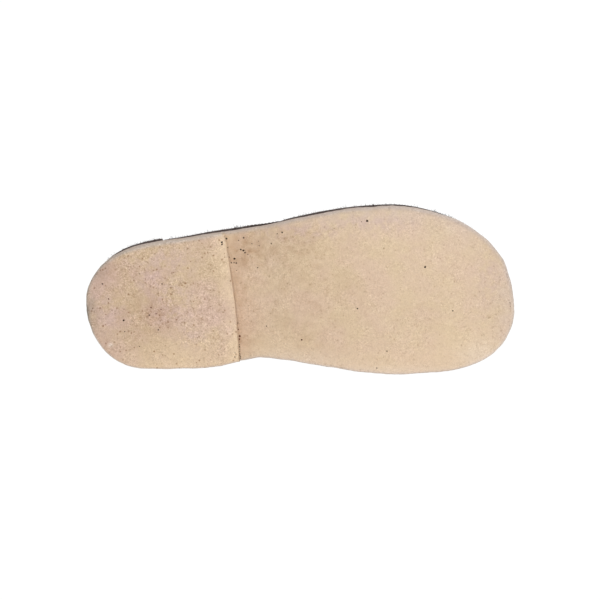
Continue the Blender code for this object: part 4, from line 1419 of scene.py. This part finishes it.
SOIL_GRIT = table(
    "x y size",
    (60.0, -26.8, 1.3), (60.1, -25.8, 1.2), (69.4, -28.0, 1.3), (67.2, -26.9, 0.9), (68.2, -22.7, 1.1),
    (69.4, -22.4, 1.6), (70.1, -21.4, 1.1), (71.3, -20.6, 0.7), (73.2, -25.4, 0.9), (65.4, -18.7, 1.7),
    (62.9, -19.4, 1.1), (64.0, -16.9, 0.9), (65.2, -16.9, 0.8), (66.2, -16.7, 1.0), (66.2, -13.4, 0.7),
    (61.9, -27.6, 0.9), (62.4, -23.6, 0.8), (76.1, -26.6, 0.8), (76.4, -24.6, 0.8), (81.8, -25.7, 0.8),
    (84.4, -30.2, 0.9), (86.6, -30.8, 1.1), (75.7, -14.8, 0.8), (123.8, -36.2, 1.2), (121.4, -35.9, 0.6),
    (149.5, -15.8, 1.2), (119.8, 2.7, 1.0), (161.9, 3.8, 0.9), (128.5, 29.4, 0.8), (132.9, 21.8, 0.7),
    (79.6, 11.3, 0.8), (7.3, -8.3, 0.9), (33.6, -8.3, 1.1), (23.8, -12.8, 0.8), (16.5, 8.0, 1.1),
    (20.2, 8.2, 0.7), (16.9, 13.0, 0.7), (27.8, 5.6, 0.8), (31.8, 12.2, 0.9), (23.4, 19.6, 1.0),
    (65.6, 22.5, 0.8), (65.6, 24.3, 0.9), (67.4, 19.9, 0.7), (67.5, 20.9, 0.8), (67.6, 21.9, 0.8),
    (67.6, 22.9, 0.9), (67.5, 23.8, 1.1), (67.6, 24.6, 1.2), (67.8, 25.3, 0.8), (67.9, 26.0, 0.6),
)
RUST_GRIT = table(
    "x y size",
    (30.9, 5.0, 0.9), (33.1, 3.0, 0.7), (28.6, 2.2, 0.7), (2.9, 2.5, 0.9), (10.0, -1.6, 0.8),
    (16.7, 2.9, 0.7), (95.2, 16.8, 1.0), (67.6, 16.2, 1.2), (67.2, 17.5, 1.3), (66.9, 13.0, 0.9),
    (66.8, 10.2, 0.7),
)
GRIT_RINGS, GRIT_SIDES, GRIT_LUMP, GRIT_SUNK, GRIT_TOP = 4, 9, 0.26, 1.6, 0.35
GRIT_RAGGED, ON_HEEL = (0.65, 1.25), 0.3
SOIL_DARK, SOIL_LIGHT = srgb(26, 18, 12), srgb(66, 46, 30)
RUST_DARK, RUST_LIGHT = srgb(78, 38, 28), srgb(132, 76, 56)


def gritty_soil(name, dark, light):
    """Dried soil: dark with lighter grains."""
    made, tree, shader = new_material(name, Roughness=0.9, Specular_IOR_Level=0.2)
    grain = noise(tree, in_millimetres(tree), scale=2.5)
    color = blend(tree, between(tree, grain, low=0.4, high=0.75), dark, light)
    tree.links.new(color, shader.inputs["Base Color"])
    bump(tree, shader, grain, strength=0.4, distance=0.0001)
    return made


def tread_height(x, y):
    """Height of the tread that carries a speck: the heel's flat face behind the breast, else the sole."""
    return np.where(x < breast_line(y) - ON_HEEL, 0.0, underside(x))


def grit_lumps(specks, seed):
    """Rings of each speck: its ragged radius times the ring's share, on a dome 1 - 1.6 r^2 that sinks
    into the tread at its rim; the innermost ring and the rim are closed by flat faces."""
    turn = np.linspace(0, 2 * np.pi, GRIT_SIDES, endpoint=False)
    ring = np.linspace(GRIT_TOP, 1, GRIT_RINGS)[None, :, None]
    ragged = np.random.default_rng(seed).uniform(*GRIT_RAGGED, (len(specks), 1, GRIT_SIDES))
    radius = specks["size"][:, None, None] / 2 * ragged * ring
    x = specks["x"][:, None, None] + radius * np.cos(turn)
    y = specks["y"][:, None, None] + radius * np.sin(turn)
    carried = tread_height(specks["x"], specks["y"])[:, None, None]
    z = carried - GRIT_LUMP * (1 - GRIT_SUNK * ring**2) * np.ones_like(x)
    return np.stack([x, y, z], -1), tube_faces(len(specks), GRIT_RINGS, GRIT_SIDES)


make_piece(
    "grit_soil",
    *grit_lumps(SOIL_GRIT, seed=7),
    [gritty_soil("dark_soil", SOIL_DARK, SOIL_LIGHT)],
    "crepe",
)
make_piece(
    "grit_rust",
    *grit_lumps(RUST_GRIT, seed=8),
    [gritty_soil("rusty_soil", RUST_DARK, RUST_LIGHT)],
    "crepe",
)

# Floor, light and camera: a plain white floor, a pale room, one soft light in front of the sole and a
# broader one behind the shoe, and a long lens square to the sole, leaning a little to its outer side.

FLOOR_SIZE, FLOOR_GLOW, FLOOR_GLOW_SHARE, FLOOR_WHITE = 6.0, 1.05, 0.97, (0.9, 0.9, 0.9, 1)
ROOM_BRIGHTNESS = 0.40
floor_mesh = bpy.data.meshes.new("floor")
corners = FLOOR_SIZE / 2 * np.array([(-1, -1, 0), (1, -1, 0), (1, 1, 0), (-1, 1, 0)])
floor_mesh.from_pydata(corners, [], [(0, 1, 2, 3)])
floor = add_object("floor", floor_mesh)
floor_paint, floor_tree, floor_shader = new_material("white_floor", Base_Color=FLOOR_WHITE, Roughness=0.9)
glow = add_node(floor_tree, "ShaderNodeEmission", Color=(1, 1, 1, 1), Strength=FLOOR_GLOW)
seen = add_node(floor_tree, "ShaderNodeLightPath").outputs["Is Camera Ray"]
share = math_node(floor_tree, "MULTIPLY", seen, FLOOR_GLOW_SHARE)
mixed = add_node(floor_tree, "ShaderNodeMixShader", share, floor_shader.outputs[0], glow.outputs[0])
floor_tree.links.new(mixed.outputs[0], floor_tree.nodes["Material Output"].inputs["Surface"])
floor_mesh.materials.append(floor_paint)

world = bpy.data.worlds.new("pale_room")
world.use_nodes = True
room = world.node_tree.nodes["Background"]
room.inputs["Color"].default_value = (1, 1, 1, 1)
room.inputs["Strength"].default_value = ROOM_BRIGHTNESS
bpy.context.scene.world = world
bpy.context.scene.view_settings.view_transform = "Standard"


def soft_light(name, place, size, power):
    """A square area light turned to the shoe."""
    data = bpy.data.lights.new(name, "AREA")
    data.size = size
    data.energy = power
    made = add_object(name, data)
    made.location = place
    made.rotation_euler = (-Vector(place)).to_track_quat("-Z", "Y").to_euler()


soft_light("key_light", place=(0.08, -1.38, 0.36), size=0.6, power=10.9)
soft_light("back_light", place=(0.7, 1.1, 1.2), size=1.2, power=14.0)

VIEW_CENTRE = np.array((94.4, -0.7, 3.0))
VIEW_LEAN, VIEW_DISTANCE, VIEW_WIDTH, SENSOR_WIDTH = np.radians(8.4), 1.0, 0.2655, 36.0
camera_data = bpy.data.cameras.new("camera")
camera_data.sensor_width = SENSOR_WIDTH
camera_data.lens = SENSOR_WIDTH * VIEW_DISTANCE / VIEW_WIDTH
camera = add_object("camera", camera_data)
backward = np.array((0, -np.sin(VIEW_LEAN), -np.cos(VIEW_LEAN))) @ shoe_axes
rightward = unit(along_axis - (along_axis @ backward) * backward)
turned = Matrix(np.stack([rightward, np.cross(backward, rightward), backward], -1)).to_4x4()
camera.matrix_world = Matrix.Translation(lay(VIEW_CENTRE) + VIEW_DISTANCE * backward) @ turned
bpy.context.scene.camera = camera
